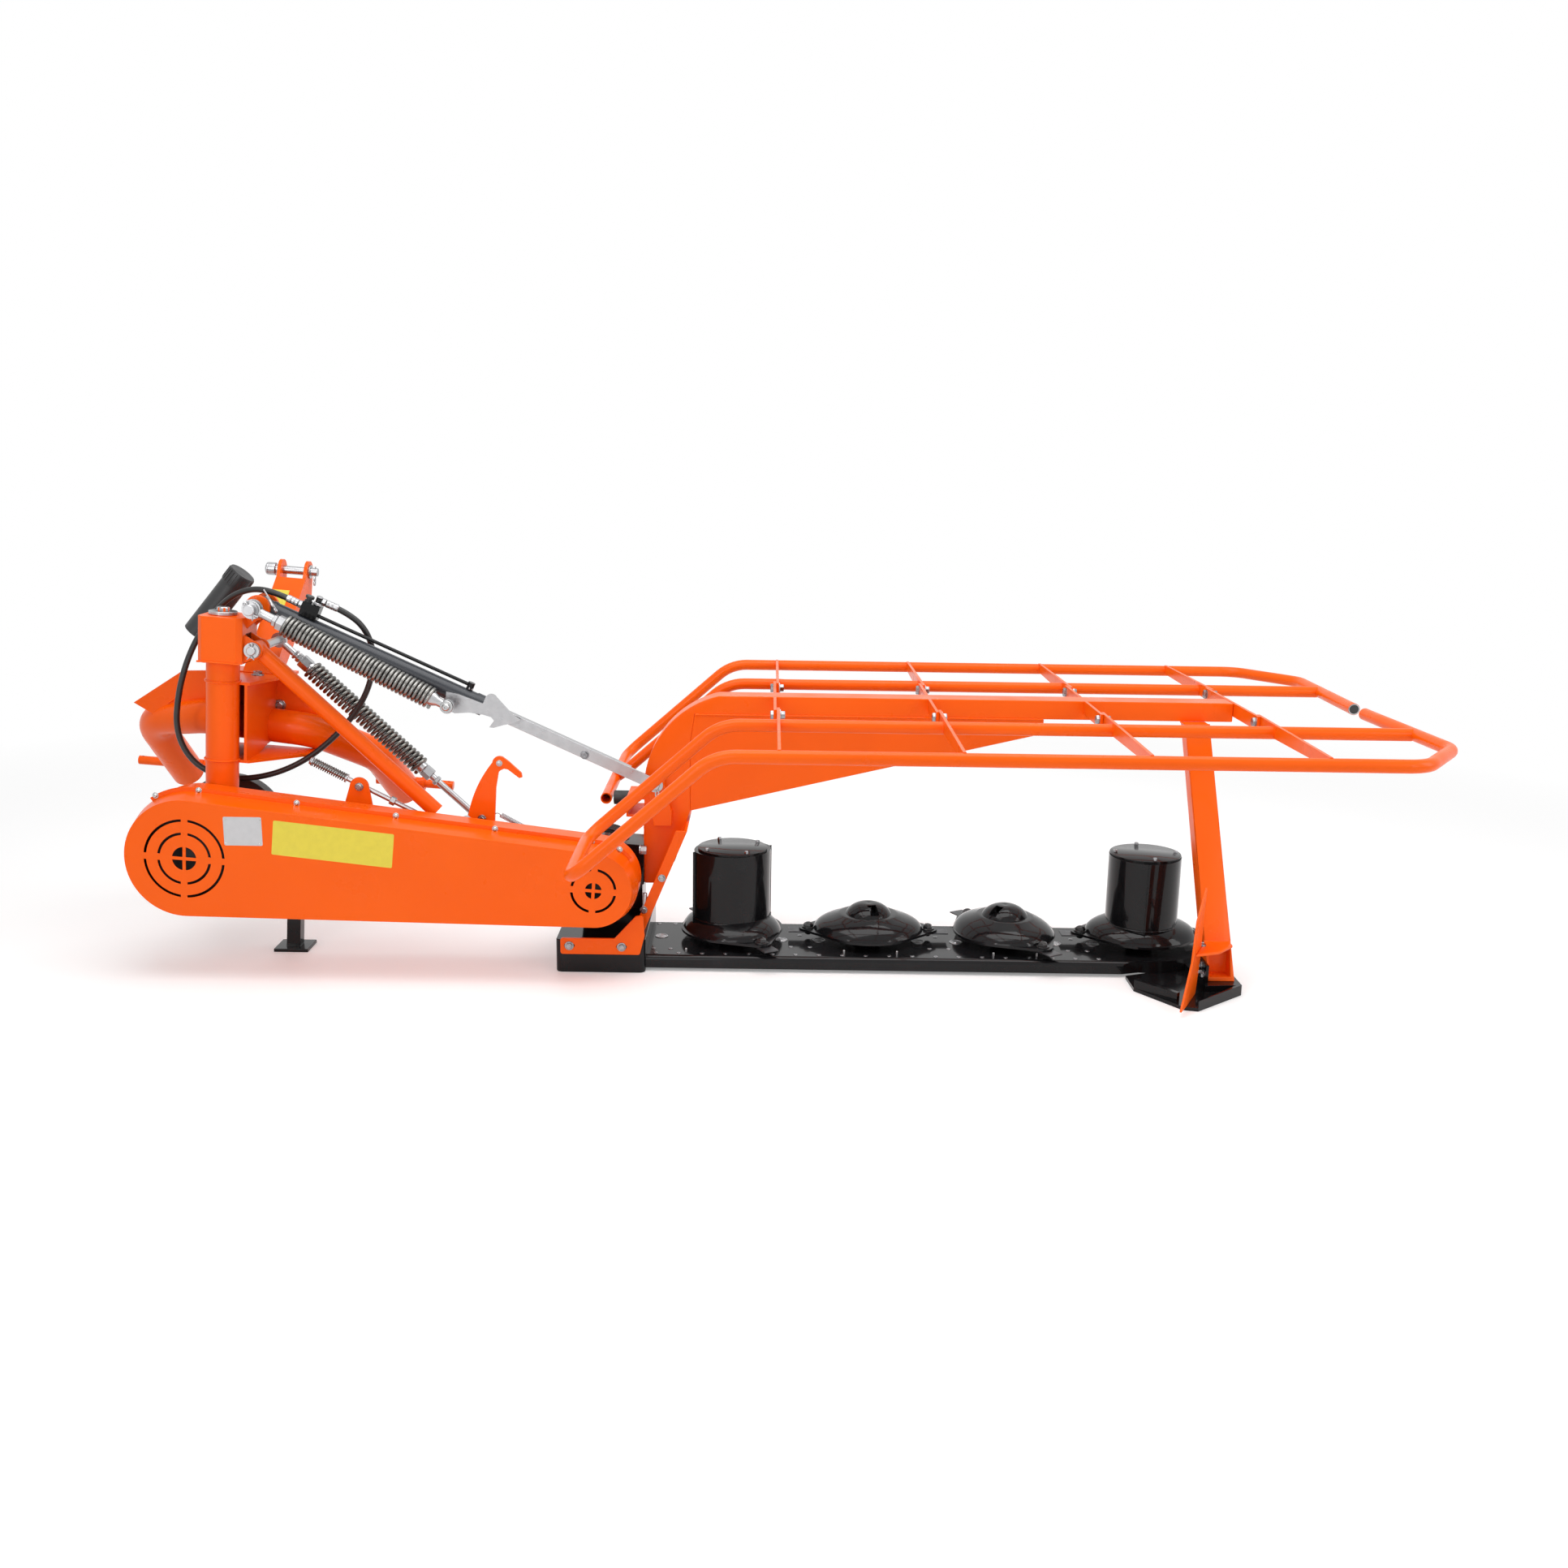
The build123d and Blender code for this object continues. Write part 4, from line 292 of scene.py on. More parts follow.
FINISH = {
    ORANGE: ("pivot_post", "hitch_arch", "hitch_plates", "lower_link_pins", "top_link_mast", "swivel_head",
             "strut", "carrier_arm", "cover_back", "belt_cover", "breakaway_ear", "transport_hook",
             "hook_lug", "main_beam", "beam_gusset", "lift_lug", "inner_plate", "inner_bracket",
             "outer_post", "swath_board", "guard_brackets", "guard_rear", "guard_front", "guard_rest"),
    BLACK: ("gearbox", "inner_shoe", "cutter_bar", "outer_shoe", "parking_stand", "stand_sleeve",
            "disc_1", "disc_2", "disc_3", "disc_4", "lift_pipe"),
    ZINC: ("head_pin", "strut_pin", "top_link_pin", "spring_rod", "lever_plate", "lift_bar",
           "lower_spring_rod", "lower_spring_lug", "breakaway_rod", "hook_spring"),
    PULLEY: ("drive_pulley", "driven_pulley"),
    KNIFE: ("knives_1", "knives_2", "knives_3", "knives_4"),
    SPRING_LIGHT: ("upper_spring",),
    SPRING: ("lower_spring",),
    GREY: ("lift_barrel",),
    CHROME: ("piston_rod",),
    RUBBER: ("drive_belt", "guard_bumper"),
    HOSE: ("lift_hose",),
    PLASTIC: ("document_tube", "shaft_guard"),
}
for material, names in FINISH.items():
    for name in names:
        mesh = frame["nodes"][name].data
        mesh.materials.clear()
        mesh.materials.append(material)


# Mesh helpers
def place(name, mesh, body):
    piece = bpy.data.objects.new(name, mesh)
    bpy.context.collection.objects.link(piece)
    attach(piece, body)
    return piece


def new_piece(name, bm, material, body, smooth=35.0):
    """A finished piece at the origin that rides on a body."""
    bmesh.ops.recalc_face_normals(bm, faces=bm.faces)
    mesh = bpy.data.meshes.new(name)
    bm.to_mesh(mesh)
    bm.free()
    mesh.materials.append(material)
    mesh.shade_smooth()
    mesh.set_sharp_from_angle(angle=math.radians(smooth))
    return place(name, mesh, body)


def piece_of(material, body, smooth=35.0):
    """Decorator: runs a function on an empty mesh and keeps it as the piece of the function's name."""
    def run(build):
        bm = bmesh.new()
        build(bm)
        new_piece(build.__name__, bm, material, body, smooth)
    return run


def basis(z_dir, x_hint=FAR):
    """Rotation whose z is z_dir and whose x lies near x_hint."""
    z = z_dir.normalized()
    x = x_hint - x_hint.dot(z) * z
    if x.length < 0.01:
        x = z.orthogonal()
    x.normalize()
    return Matrix((x, z.cross(x), z)).transposed()


def circle(bm, origin, turn, along, radius, segments):
    """Vertices of a circle, millimetres along the axis and across it."""
    angles = [2 * math.pi * k / segments for k in range(segments)]
    return [bm.verts.new(origin + turn @ Vector((radius * math.cos(a), radius * math.sin(a), along)) / 1000)
            for a in angles]


def bridge(bm, rings):
    """Faces between each ring of vertices and the next."""
    sides = len(rings[0])
    for a, b in zip(rings, rings[1:]):
        for k in range(sides):
            bm.faces.new((a[k], a[(k + 1) % sides], b[(k + 1) % sides], b[k]))


def closed_run(bm, rings):
    """Rings of vertices joined in a row, with both ends closed."""
    bridge(bm, rings)
    bm.faces.new(rings[0][::-1])
    bm.faces.new(rings[-1])


def turned(bm, origin, axis, profile, segments=32):
    """Revolves (distance along the axis, radius) points in millimetres and closes both ends."""
    turn = basis(axis)
    closed_run(bm, [circle(bm, origin, turn, along, radius, segments) for along, radius in profile])


def ring(bm, origin, axis, inner, outer, thick, segments=32):
    """A washer or tube: closed on all sides, thick millimetres along the axis."""
    turn = basis(axis)
    corners = ((0, inner), (0, outer), (thick, outer), (thick, inner))
    rings = [circle(bm, origin, turn, along, radius, segments) for along, radius in corners]
    bridge(bm, rings + rings[:1])


def hex_block(bm, origin, axis, flats, start, end, bevel=1.5):
    """A hexagonal nut or coupling between two distances along the axis."""
    corner = flats / math.sqrt(3)
    turned(bm, origin, axis, ((start, corner - bevel), (start + bevel, corner), (end - bevel, corner),
                              (end, corner - bevel)), 6)


def swept(bm, path, radius, segments=10):
    """A wire or tube of a radius in millimetres along points, kept from twisting."""
    radius = radius / 1000
    tangents = []
    for k in range(len(path)):
        before = path[max(k - 1, 0)]
        after = path[min(k + 1, len(path) - 1)]
        tangents.append((after - before).normalized())
    side = tangents[0].orthogonal().normalized()
    angles = [2 * math.pi * k / segments for k in range(segments)]
    rings = []
    for point, tangent in zip(path, tangents):
        side = (side - side.dot(tangent) * tangent).normalized()
        other = tangent.cross(side)
        rings.append([bm.verts.new(point + radius * (math.cos(a) * side + math.sin(a) * other))
                      for a in angles])
    closed_run(bm, rings)


def slab(bm, outline, thickness):
    """A flat plate: an outline of points pushed along a thickness vector."""
    front = [bm.verts.new(p) for p in outline]
    back = [bm.verts.new(p + thickness) for p in outline]
    bm.faces.new(front)
    bm.faces.new(back[::-1])
    for k in range(len(outline)):
        m = (k + 1) % len(outline)
        bm.faces.new((front[k], back[k], back[m], front[m]))


def bend_through(points, steps=6):
    """Smooth run through points, for pins and clips bent from wire."""
    path = []
    for k in range(len(points) - 1):
        a = points[max(k - 1, 0)]
        b, c = points[k], points[k + 1]
        d = points[min(k + 2, len(points) - 1)]
        for i in range(steps):
            t = i / steps
            path.append(0.5 * (2 * b + (c - a) * t + (2 * a - 5 * b + 4 * c - d) * t * t
                               + (3 * b - a - 3 * c + d) * t ** 3))
    path.append(points[-1])
    return path


def split_pin(bm, at, along, across, length, gauge=1.6):
    """A split pin through a hole: an eye on one side and two bent legs on the other."""
    eye = [at - along * length * 0.5 + (along * -math.cos(a) + across * math.sin(a)) * 0.0045
           for a in [math.radians(d) for d in range(-150, 151, 30)]]
    for sign in (-1, 1):
        swept(bm, bend_through([eye[0 if sign < 0 else -1], at + across * (0.0012 * sign),
                                at + along * length * 0.4 + across * (0.0012 * sign),
                                at + along * length * 0.7 + across * (0.010 * sign)], 4), gauge, 8)
    swept(bm, eye, gauge, 8)


def spring_clip(bm, at, along, across, length, gauge=2.0):
    """An R-shaped clip of spring wire: a straight leg, a round eye and a waved leg."""
    points = [at - along * length * 0.3, at + along * length * 0.55]
    for d in range(-90, 181, 45):
        a = math.radians(d)
        points.append(at + along * (length * 0.62 + 0.006 * math.cos(a))
                      + across * (0.006 + 0.006 * math.sin(a)))
    points += [at + along * length * 0.40 + across * 0.011, at + along * length * 0.18 + across * 0.005,
               at - along * length * 0.02 + across * 0.009]
    swept(bm, bend_through(points, 5), gauge, 8)


# Rounded edges: a merged copy of each node in the table, with its sharp edges rolled over
BODY_OF = {node: body for body, nodes in frame["record"]["behaviour"]["bodies"].items() for node in nodes}


def round_edges(name, width, steps=2, sharp=32.0):
    source = frame["nodes"][name]
    bm = bmesh.new()
    bm.from_mesh(source.data)
    bmesh.ops.remove_doubles(bm, verts=bm.verts, dist=0.00002)
    bmesh.ops.dissolve_limit(bm, angle_limit=math.radians(1.2), verts=bm.verts, edges=bm.edges)
    edges = [e for e in bm.edges if len(e.link_faces) == 2 and e.calc_face_angle(0) > math.radians(sharp)]
    bmesh.ops.bevel(bm, geom=edges, offset=width / 1000, offset_type="OFFSET", segments=steps, profile=0.5,
                    affect="EDGES", clamp_overlap=True)
    bmesh.ops.triangulate(bm, faces=[f for f in bm.faces if len(f.verts) > 4])
    mesh = bpy.data.meshes.new(name + "_finished")
    bm.to_mesh(mesh)
    bm.free()
    mesh.materials.append(source.data.materials[0])
    mesh.shade_smooth()
    mesh.set_sharp_from_angle(angle=math.radians(38))
    piece = bpy.data.objects.new(name + "_finished", mesh)
    bpy.context.collection.objects.link(piece)
    even = piece.modifiers.new("even_shading", "WEIGHTED_NORMAL")
    even.keep_sharp = True
    even.weight = 60
    graph = bpy.context.evaluated_depsgraph_get()
    shaded = bpy.data.meshes.new_from_object(piece.evaluated_get(graph))
    piece.modifiers.clear()
    piece.data = shaded
    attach(piece, BODY_OF[name])
    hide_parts(name)


ROUNDED = {
    "pivot_post": 1.5, "hitch_plates": 1.4, "top_link_mast": 2.5, "top_link_pin": 1.5, "swivel_head": 2.5,
    "carrier_arm": 2.5, "belt_cover": 2.0, "cover_back": 1.5, "breakaway_ear": 1.2, "hook_lug": 1.2,
    "transport_hook": 1.4, "stand_sleeve": 1.2, "parking_stand": 1.5, "lever_plate": 1.3, "lift_bar": 1.5,
    "lift_barrel": 1.5, "spring_rod": 1.5, "lower_spring_rod": 1.5, "gearbox": 2.0, "main_beam": 3.0,
    "beam_gusset": 1.5, "lift_lug": 2.0, "inner_plate": 1.4, "inner_shoe": 2.5, "inner_bracket": 1.4,
    "cutter_bar": 2.0, "outer_shoe": 1.6, "outer_post": 3.0, "swath_board": 1.4, "guard_rest": 1.2,
    "guard_brackets": 1.2, "knives_1": 1.0, "knives_2": 1.0, "knives_3": 1.0, "knives_4": 1.0,
    "disc_1": 1.6, "disc_2": 1.6, "disc_3": 1.6, "disc_4": 1.6, "document_tube": 2.0, "guard_bumper": 2.0,
}
for name, width in ROUNDED.items():
    round_edges(name, width)


# Recipes: Geometry Nodes for what repeats
class Recipe:
    """A Geometry Nodes tree with named sizes that makes one mesh from a layout of points."""

    def __init__(self, name, layout, **sizes):
        self.layout = layout
        self.tree = bpy.data.node_groups.new(name, "GeometryNodeTree")
        sockets = self.tree.interface
        sockets.new_socket("Layout", in_out="INPUT", socket_type="NodeSocketGeometry")
        for label, value in sizes.items():
            kind = "NodeSocketInt" if isinstance(value, int) else "NodeSocketFloat"
            sockets.new_socket(label, in_out="INPUT", socket_type=kind).default_value = value
        sockets.new_socket("Material", in_out="INPUT", socket_type="NodeSocketMaterial")
        sockets.new_socket("Piece", in_out="OUTPUT", socket_type="NodeSocketGeometry")
        self.sizes = self.tree.nodes.new("NodeGroupInput").outputs

    def feed(self, socket, value):
        """Sets a socket to a number or links it to another node."""
        if isinstance(value, bpy.types.NodeSocket):
            self.tree.links.new(value, socket)
        else:
            socket.default_value = value

    def node(self, kind, settings=None, **inputs):
        node = self.tree.nodes.new(kind)
        for key, value in (settings or {}).items():
            setattr(node, key, value)
        for label, value in inputs.items():
            self.feed(node.inputs[label.replace("_", " ")], value)
        return node.outputs

    def maths(self, operation, a, b):
        node = self.tree.nodes.new("ShaderNodeMath")
        node.operation = operation
        for socket, value in zip(node.inputs, (a, b)):
            self.feed(socket, value)
        return node.outputs[0]

    def attribute(self, name, kind="FLOAT"):
        return self.node("GeometryNodeInputNamedAttribute", {"data_type": kind}, Name=name)["Attribute"]

    def step(self, mesh, top, rise, scale):
        """Pulls the top face up and then scales it."""
        up = self.node("ShaderNodeCombineXYZ", Z=1.0)[0]
        pulled = self.node("GeometryNodeExtrudeMesh", {"mode": "FACES"}, Mesh=mesh, Offset=up,
                           Offset_Scale=rise, Individual=False, **({"Selection": top} if top else {}))
        shaped = self.node("GeometryNodeScaleElements", {"domain": "FACE"}, Geometry=pulled["Mesh"],
                           Selection=pulled["Top"], Scale=scale)
        return shaped["Geometry"], pulled["Top"]

    def on_points(self, shape):
        """One copy of the shape on each layout point, along its axis."""
        axis = self.attribute("axis", "FLOAT_VECTOR")
        turn = self.attribute("turn")
        size = self.attribute("size")
        spin = self.node("FunctionNodeEulerToRotation", Euler=self.node("ShaderNodeCombineXYZ", Z=turn)[0])[0]
        aimed = self.node("FunctionNodeAlignRotationToVector", {"axis": "Z"}, Rotation=spin, Vector=axis)[0]
        return self.node("GeometryNodeInstanceOnPoints", Points=self.sizes["Layout"], Instance=shape,
                         Rotation=aimed, Scale=size)["Instances"]

    def end(self, geometry):
        real = self.node("GeometryNodeRealizeInstances", Geometry=geometry)["Geometry"]
        painted = self.node("GeometryNodeSetMaterial", Geometry=real, Material=self.sizes["Material"])
        output = self.tree.nodes.new("NodeGroupOutput")
        self.tree.links.new(painted["Geometry"], output.inputs[0])

    def make(self, name, places, body, material, smooth=30.0, **sizes):
        """Runs the recipe on its places and keeps the result as a plain mesh on a body."""
        holder = bpy.data.objects.new(name + "_layout", self.layout(places))
        bpy.context.collection.objects.link(holder)
        modifier = holder.modifiers.new("recipe", "NODES")
        modifier.node_group = self.tree
        sizes["Material"] = material
        for item in self.tree.interface.items_tree:
            if item.item_type == "SOCKET" and item.in_out == "INPUT" and item.name in sizes:
                modifier[item.identifier] = sizes[item.name]
        graph = bpy.context.evaluated_depsgraph_get()
        made = bpy.data.meshes.new_from_object(holder.evaluated_get(graph))
        bpy.data.objects.remove(holder)
        bm = bmesh.new()
        bm.from_mesh(made)
        bmesh.ops.recalc_face_normals(bm, faces=bm.faces)
        bm.to_mesh(made)
        bm.free()
        made.name = name
        made.shade_smooth()
        made.set_sharp_from_angle(angle=math.radians(smooth))
        return place(name, made, body)


def points_layout(places):
    """Layout mesh of (point, axis, turn in degrees, size) rows."""
    mesh = bpy.data.meshes.new("layout")
    mesh.from_pydata([row[0] for row in places], [], [])
    for name, kind in (("axis", "FLOAT_VECTOR"), ("turn", "FLOAT"), ("size", "FLOAT")):
        mesh.attributes.new(name, kind, "POINT")
    for k, row in enumerate(places):
        mesh.attributes["axis"].data[k].vector = row[1]
        mesh.attributes["turn"].data[k].value = math.radians(row[2] if len(row) > 2 else 0.0)
        mesh.attributes["size"].data[k].value = row[3] if len(row) > 3 else 1.0
    return mesh


def path_layout(paths):
    """Layout mesh of open runs of points."""
    points, edges = [], []
    for path in paths:
        first = len(points)
        points += path
        edges += [(first + k, first + k + 1) for k in range(len(path) - 1)]
    mesh = bpy.data.meshes.new("layout")
    mesh.from_pydata(points, edges, [])
    return mesh


def head_recipe(name, shape):
    """Bolt head on a round washer: shape is (share of the height, scale of the top face) steps."""
    r = Recipe(name, points_layout, Radius=0.010, Height=0.007, Sides=6, Washer=0.012,
               WasherThickness=0.002, Recess=0.5, RecessDepth=0.0004)
    disc = r.node("GeometryNodeMeshCircle", {"fill_type": "NGON"}, Vertices=24,
                  Radius=r.sizes["Washer"])["Mesh"]
    washer, top = r.step(disc, None, r.maths("MULTIPLY", r.sizes["WasherThickness"], 0.7), 1.0)
    washer, top = r.step(washer, top, r.maths("MULTIPLY", r.sizes["WasherThickness"], 0.3), 0.96)
    head = r.node("GeometryNodeMeshCircle", {"fill_type": "NGON"}, Vertices=r.sizes["Sides"],
                  Radius=r.sizes["Radius"])["Mesh"]
    top = None
    for share, scale in shape:
        head, top = r.step(head, top, r.maths("MULTIPLY", r.sizes["Height"], share), scale)
    head, top = r.step(head, top, 0.0, r.sizes["Recess"])
    head, top = r.step(head, top, r.maths("MULTIPLY", r.sizes["RecessDepth"], -1.0), 0.9)
    lift = r.node("ShaderNodeCombineXYZ", Z=r.sizes["WasherThickness"])[0]
    head = r.node("GeometryNodeTransform", Geometry=head, Translation=lift)["Geometry"]
    both = r.tree.nodes.new("GeometryNodeJoinGeometry")
    r.tree.links.new(washer, both.inputs[0])
    r.tree.links.new(head, both.inputs[0])
    r.end(r.on_points(both.outputs[0]))
    return r


def coil_recipe():
    """Coil spring along a layout point's axis."""
    r = Recipe("coil_spring", points_layout, Turns=10.0, Radius=0.02, Wire=0.004, Length=0.1, Steps=22,
               Sides=8)
    spiral = r.node("GeometryNodeCurveSpiral", Resolution=r.sizes["Steps"], Rotations=r.sizes["Turns"],
                    Start_Radius=r.sizes["Radius"], End_Radius=r.sizes["Radius"],
                    Height=r.sizes["Length"])["Curve"]
    wire = r.node("GeometryNodeCurvePrimitiveCircle", {"mode": "RADIUS"}, Resolution=r.sizes["Sides"],
                  Radius=r.sizes["Wire"])["Curve"]
    r.end(r.on_points(r.node("GeometryNodeCurveToMesh", Curve=spiral, Profile_Curve=wire,
                             Fill_Caps=True)["Mesh"]))
    return r


def bead_recipe():
    """Weld bead along runs of points, with ripples."""
    r = Recipe("weld_bead", path_layout, Radius=0.003, Ripple=0.003)
    line = r.node("GeometryNodeMeshToCurve", Mesh=r.sizes["Layout"])["Curve"]
    line = r.node("GeometryNodeResampleCurve", {"mode": "LENGTH"}, Curve=line,
                  Length=r.sizes["Ripple"])["Curve"]
    wave = r.maths("SINE", r.maths("MULTIPLY", r.node("GeometryNodeInputIndex")["Index"], 1.9), 0.0)
    swell = r.maths("ADD", r.maths("MULTIPLY", wave, 0.16), 1.0)
    section = r.node("GeometryNodeCurvePrimitiveCircle", {"mode": "RADIUS"}, Resolution=8,
                     Radius=r.sizes["Radius"])["Curve"]
    r.end(r.node("GeometryNodeCurveToMesh", Curve=line, Profile_Curve=section, Scale=swell,
                 Fill_Caps=True)["Mesh"])
    return r


HEX_HEAD = head_recipe("hex_bolt", ((0.80, 1.0), (0.20, 0.88)))
BUTTON_HEAD = head_recipe("button_screw", ((0.30, 1.0), (0.35, 0.93), (0.25, 0.82), (0.10, 0.80)))
DOME_HEAD = head_recipe("knife_bolt", ((0.22, 1.0), (0.28, 0.94), (0.25, 0.82), (0.16, 0.74), (0.09, 0.62)))
COIL = coil_recipe()
BEAD = bead_recipe()


# Springs: coils of wire in place of the CAD's nodes
def coil(name, start, direction, body, material, **sizes):
    """One coil spring from a start point along a direction."""
    return COIL.make(name, [(start, direction)], body, material, 60, **sizes)


HOOK_EYE = lean(HOOK_X + 37.6, HOOK_Y, HOOK_Z + 20)
HOOK_FOOT = lean(HOOK_X + 151, HOOK_Y, 97)
HOOK_DIR = (HOOK_FOOT - HOOK_EYE).normalized()
HOOK_COIL_START = 0.016    # the hook spring's turns, in metres from its eye
HOOK_COIL_END = 0.100
HOOK_COIL_R = 0.0066
HOOK_WIRE_R = 1.3

upper = coil("upper_spring_coil", on_spring(97), SPRING_DIR, "lift_cylinder", SPRING_LIGHT,
             Turns=37.0, Radius=0.0266, Wire=0.0054, Length=0.442)
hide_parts("upper_spring")
lower = coil("lower_spring_coil", LOWER_TOP + LOWER_DIR * 0.123, LOWER_DIR, "carrier", SPRING,
             Turns=30.0, Radius=0.0243, Wire=0.0057, Length=0.422)
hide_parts("lower_spring")
latch = coil("breakaway_coil", LATCH_A + LATCH_DIR * 0.013, LATCH_DIR, "carrier", SPRING,
             Turns=15.0, Radius=0.0112, Wire=0.0018, Length=0.099, Steps=18, Sides=6)
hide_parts("breakaway_rod")
hook_coil = coil("hook_spring_coil", HOOK_EYE + HOOK_DIR * HOOK_COIL_START, HOOK_DIR, "carrier", ZINC,
                 Turns=24.0, Radius=HOOK_COIL_R, Wire=HOOK_WIRE_R / 1000,
                 Length=HOOK_COIL_END - HOOK_COIL_START, Steps=16, Sides=6)
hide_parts("hook_spring")


@piece_of(ZINC, "carrier")
def hook_spring_wire(bm):
    """The hook spring's bent ends, and the small plate that its foot is hooked in."""
    cross = HOOK_DIR.cross(NEAR)
    for coil_end, eye, sign in ((HOOK_COIL_START, HOOK_EYE, -1), (HOOK_COIL_END, HOOK_FOOT, 1)):
        start = HOOK_EYE + HOOK_DIR * coil_end
        swept(bm, bend_through([start + cross * HOOK_COIL_R, start + HOOK_DIR * (0.003 * sign),
                                eye - HOOK_DIR * (0.004 * sign), eye + cross * 0.004,
                                eye + HOOK_DIR * (0.003 * sign)]), HOOK_WIRE_R, 8)
    slab(bm, [lean(HOOK_X + x, HOOK_Y - 3, z) for x, z in ((137, 92.2), (173, 89.5), (159, 106), (147, 106))],
         FAR * 0.006)


@piece_of(ZINC, "carrier")
def breakaway_latch_rod(bm):
    """The breakaway latch's rod with its collars, nuts and cross pin."""
    turned(bm, LATCH_A, LATCH_DIR, ((0, 5.0), (2, 7.0), (330, 7.0), (332, 5.0)), 20)
    for start in (7.0, 113.0):
        turned(bm, LATCH_A, LATCH_DIR, ((start, 12.0), (start + 0.5, 13.0), (start + 3.5, 13.0),
                                        (start + 4, 12.0)), 24)
    for flats, start, end in ((19.0, 1.5, 7.0), (22.0, 250.0, 266.0)):
        hex_block(bm, LATCH_A, LATCH_DIR, flats, start, end)
    turned(bm, lean(EAR_X, LATCH_Y, EAR_Z), NEAR, ((0, 9), (29, 9), (30, 8)), 24)


@piece_of(ZINC, "lift_cylinder")
def upper_spring_ends(bm):
    """Eye shank, jam nut and couplings of the upper spring, and washers on the head pin."""
    pin = on_spring(0)
    turned(bm, pin, SPRING_DIR, ((22, 13.5), (40, 12.0), (60, 11.0), (70, 12.5)), 24)
    hex_block(bm, pin, SPRING_DIR, 30.0, 62.0, 73.0)
    hex_block(bm, pin, SPRING_DIR, 38.0, 73.5, 97.0, 2.5)
    turned(bm, pin, SPRING_DIR, ((96, 19.0), (97, 20.5), (118, 20.5), (120, 19.0)), 32)
    turned(bm, pin, SPRING_DIR, ((520, 19.0), (522, 20.5), (541, 20.5), (556, 13.0), (568, 12.5)), 32)
    ring(bm, on_spring(0, -153.0), NEAR, HEAD_PIN_HOLE, 27.0, 1.2)
    ring(bm, on_spring(0, -171.0), NEAR, HEAD_PIN_HOLE, 26.0, 3.5)


@piece_of(ZINC, "carrier")
def lower_spring_ends(bm):
    """Jam nuts and couplings along the lower spring's rod."""
    for start, end, flats in ((58, 66, 26), (70, 82, 26), (84, 116, 36), (556, 586, 34), (600, 612, 26)):
        hex_block(bm, LOWER_TOP, LOWER_DIR, flats, start, end, 2.0)
    turned(bm, LOWER_TOP, LOWER_DIR, ((114, 17.5), (116, 18.5), (140, 18.5), (142, 17.0)), 32)
    turned(bm, LOWER_TOP, LOWER_DIR, ((530, 17.0), (532, 18.5), (554, 18.5), (556, 17.0)), 32)


# Hitch: post cap, tube cap, link pin clip and bolts
CAP_RIBS = 22


@piece_of(ZINC, "headstock")
def post_cap_washer(bm):
    """Washer and hex head on top of the pivot post."""
    top = lean(POST_X, POST_Y, 644.5)
    turned(bm, top, LEAN_Z, ((0.2, 37.0), (1.0, 38.6), (8.6, 38.6), (9.6, 37.4)), 40)
    hex_block(bm, top, LEAN_Z, 30.6, 9.0, 20.6, 2.0)


@piece_of(PLASTIC, "headstock")
def document_tube_cap(bm):
    """Screw cap of the document tube, with grip ribs around it."""
    top = lean(-1093, 62, 744)
    foot = lean(-1226, 62, 560)
    along = (top - foot).normalized()
    turned(bm, top, along * -1, ((0, 34.0), (1.5, 37.2), (3, 38.0), (44, 38.6), (46, 37.5)), 48)
    turn = basis(along)
    for k in range(CAP_RIBS):
        a = 2 * math.pi * k / CAP_RIBS
        out = turn @ Vector((math.cos(a), math.sin(a), 0))
        across = turn @ Vector((-math.sin(a), math.cos(a), 0))
        base = top - along * 0.004 + out * 0.0375
        slab(bm, [base - across * 0.0018, base + across * 0.0018, base + across * 0.001 + out * 0.0022,
                  base - across * 0.001 + out * 0.0022], along * -0.037)


@piece_of(ZINC, "headstock")
def top_link_clip(bm):
    """Spring clip, end knob and washer of the top link pin."""
    spring_clip(bm, lean(HITCH_X + 62, TOP_PIN_Y, TOP_PIN_Z), LEAN_Z * -1, NEAR, 0.055, 2.2)
    turned(bm, lean(HITCH_X - 80, TOP_PIN_Y, TOP_PIN_Z), LEAN_X * -1,
           ((-0.5, 19.0), (1, 19.5), (6, 18.0), (9, 13.0)), 32)
    ring(bm, lean(HITCH_X + 46, TOP_PIN_Y, TOP_PIN_Z), LEAN_X, 12.8, 21.0, 3.0)


HEX_HEAD.make("hitch_bolts", [
    (lean(-1036, 26, 458), LEAN_Z, 10),
    (lean(-1010, 149.8, 350), NEAR, 20),
    (lean(-1036, 26, 450), LEAN_Z * -1, 0),
], "headstock", BOLT, Radius=0.0125, Height=0.009, Washer=0.018, WasherThickness=0.003)


